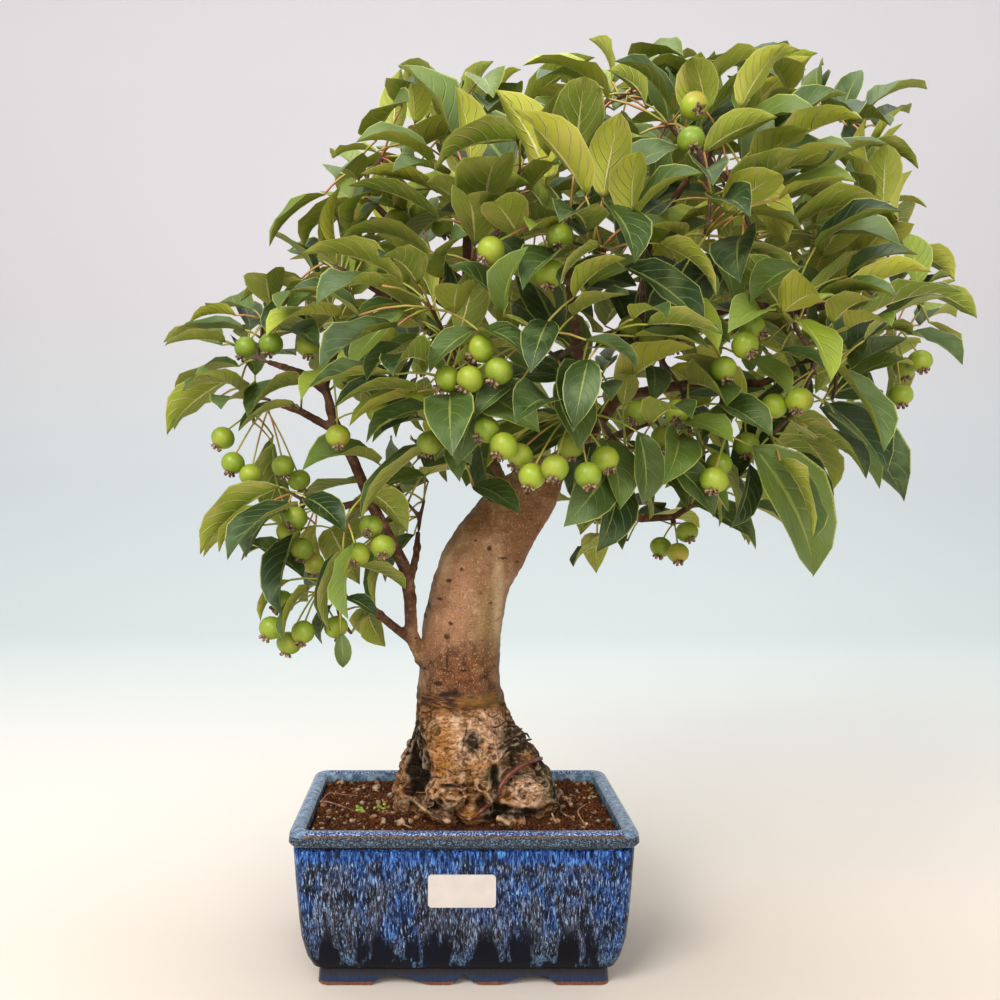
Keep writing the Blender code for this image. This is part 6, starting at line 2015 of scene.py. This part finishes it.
def scattered(name, form, spots, draw, flat=0.8):
    """Copies of a form at places and sizes, each turned at random, as one piece."""
    points = []
    faces = []
    for place, size in spots:
        turn = Matrix.Rotation(draw.uniform(0.0, 6.28), 4, "Z")
        turn = turn @ Matrix.Rotation(draw.uniform(0.0, 6.28), 4, "X")
        shape = Matrix.Diagonal((size, size * draw.uniform(0.55, 1.0), size * draw.uniform(0.45, flat),
                                 1.0))
        move = Matrix.Translation(place) @ turn @ shape
        low = len(points)
        points.extend(move @ vert.co for vert in form.data.vertices)
        faces.extend(tuple(low + k for k in face.vertices) for face in form.data.polygons)
    return new_mesh(name, points, faces)


def finish_piece(item, finish):
    """Give a new piece its finish and its body."""
    put_on(item, finish_of[finish])
    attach(item, "root")
    return item


def scatter_crumbs(soil_tree, foot_tree):
    """Crumbs of soil and stone on the soil's top."""
    draw = random.Random(8)
    bpy.ops.mesh.primitive_ico_sphere_add(subdivisions=1, radius=1.0, location=(0.0, 0.0, 0.0))
    form = settle(bpy.context.object, "crumb_form")
    with editing():
        pick(form, lambda place, normal: place.z > 0.5)
        bpy.ops.transform.resize(value=(1.3, 0.7, 0.8))
        pick(form, lambda place, normal: place.x > 0.5)
        bpy.ops.transform.translate(value=(0.15, 0.1, 0.2))
    below = Vector((0.0, 0.0, -1.0))
    for name, finish, count, sizes in CRUMBS:
        spots = []
        while len(spots) < count:
            spot = POT_MIDDLE + Vector((*[draw.uniform(-reach, reach) for reach in CRUMB_REACH], 0.2))
            ground = soil_tree.ray_cast(spot, below)[0]
            wood = foot_tree.ray_cast(spot, below)[0]
            if ground is None or ground.z < SOIL_TOP or (wood is not None and wood.z > ground.z - 0.001):
                continue
            size = draw.uniform(0.0, 1.0) ** 1.6 * (sizes[1] - sizes[0]) + sizes[0]
            spots.append((ground + Vector((0.0, 0.0, size * 0.2)), size))
        finish_piece(scattered(name, form, spots, draw), finish)
    bpy.data.objects.remove(form)
    bpy.ops.mesh.primitive_ico_sphere_add(subdivisions=2, radius=1.0, location=(0.0, 0.0, 0.0))
    lump = settle(bpy.context.object, "lump_form")
    for vert in lump.data.vertices:
        vert.co *= 1.0 + noise.noise(vert.co * 1.7) * 0.5
    spots = [(on_surface(soil_tree, across, down, size * 0.3), size) for across, down, size in PALE_LUMPS]
    finish_piece(smooth(scattered("pale_lumps", lump, spots, draw)), "pale_grit")
    bpy.data.objects.remove(lump)


def lay_stems(soil_tree, foot_tree):
    """Dry stems, thin roots, the reddish stalk across the foot and the black stubs."""
    groups = {}
    for ground, finish, first, last, marks in DRY_STEMS:
        tree = {"soil": soil_tree, "foot": foot_tree}[ground]
        corners = []
        for across, down, lift in marks:
            place = on_surface(tree, across, down)
            toward = (POT_MIDDLE + EYE - place).normalized()
            corners.append(place + (toward * 0.5 + Vector((0.0, 0.0, 0.5))) * lift)
        route = curve_through(corners, 4)
        count = len(route) - 1
        radii = []
        for k in range(count + 1):
            radii.append((first + (last - first) * k / count) * (1.0 + 0.12 * math.sin(k * 2.3)))
        groups.setdefault(finish, []).append(cord_tube("stem", route, radii, 8))
    for finish, tubes in groups.items():
        finish_piece(joined(tubes, finish + "s"), finish)


def grow_tufts(soil_tree):
    """Small green tufts on the soil."""
    draw = random.Random(3)
    bpy.ops.mesh.primitive_ico_sphere_add(subdivisions=1, radius=1.0, location=(0.0, 0.0, 0.0))
    form = settle(bpy.context.object, "tuft_form")
    spots = []
    for across, down, size in GREEN_TUFTS:
        middle = on_surface(soil_tree, across, down)
        for k in range(TUFT_BITS):
            spread = Vector((draw.gauss(0.0, size * 0.5), draw.gauss(0.0, size * 0.5),
                             abs(draw.gauss(0.0, size * 0.4)) + 0.0004))
            spots.append((middle + spread, size * draw.uniform(0.3, 0.8)))
    finish_piece(scattered("green_tufts", form, spots, draw, 0.5), "moss_green")
    bpy.data.objects.remove(form)


# Finishes that wander between two colours: name, both colours, roughness, pattern's scale, relief's depth
PLAIN_FINISHES = [
    ("pale_grit", (0.16, 0.10, 0.058), (0.50, 0.38, 0.25), 0.9, 420.0, 0.0005),
    ("brown_grit", (0.12, 0.052, 0.024), (0.44, 0.25, 0.12), 0.9, 420.0, 0.0005),
    ("red_bits", (0.25, 0.03, 0.02), (0.50, 0.10, 0.05), 0.8, 300.0, 0.0003),
    ("pink_stem", (0.20, 0.075, 0.050), (0.38, 0.18, 0.125), 0.6, 300.0, 0.0003),
    ("red_stalk", (0.085, 0.022, 0.014), (0.25, 0.085, 0.050), 0.4, 260.0, 0.0003),
    ("tan_root", (0.20, 0.11, 0.055), (0.52, 0.34, 0.19), 0.7, 350.0, 0.0004),
    ("moss_green", (0.16, 0.26, 0.03), (0.42, 0.52, 0.08), 0.8, 500.0, 0.0003),
    ("dark_humus", (0.014, 0.008, 0.005), (0.06, 0.03, 0.018), 0.95, 600.0, 0.0005),
    ("label_card", (0.55, 0.50, 0.47), (0.59, 0.54, 0.505), 0.5, 120.0, 0.0001),
    ("screen_plastic", (0.010, 0.010, 0.011), (0.025, 0.025, 0.026), 0.55, 400.0, 0.0002),
]
OWN_FINISHES = (leaf_upper, leaf_under, stalk_green, fruit_skin, withered_calyx, twig_bark, smooth_bark,
                rough_bark, pot_glaze, soil_mix)
finish_of = {make.__name__: make() for make in OWN_FINISHES}
for finish_name, *finish_values in PLAIN_FINISHES:
    finish_of[finish_name] = plain_finish(finish_name, *finish_values)


def main():
    """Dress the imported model."""
    set_camera()
    set_backdrop()
    set_lights()
    make_pot()
    make_limbs()
    wood_tree = tree_of(make_foot())
    soil_tree = tree_of(make_soil())
    scatter_crumbs(soil_tree, wood_tree)
    lay_stems(soil_tree, wood_tree)
    grow_tufts(soil_tree)
    make_crown()
    for name, finish in (("label", "label_card"), ("drain_screen_left", "screen_plastic"),
                         ("drain_screen_right", "screen_plastic")):
        put_on_node(name, finish)


def put_on_node(name, finish):
    """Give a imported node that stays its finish."""
    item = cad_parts[name]
    for slot in item.material_slots:
        slot.material = finish_of[finish]


main()
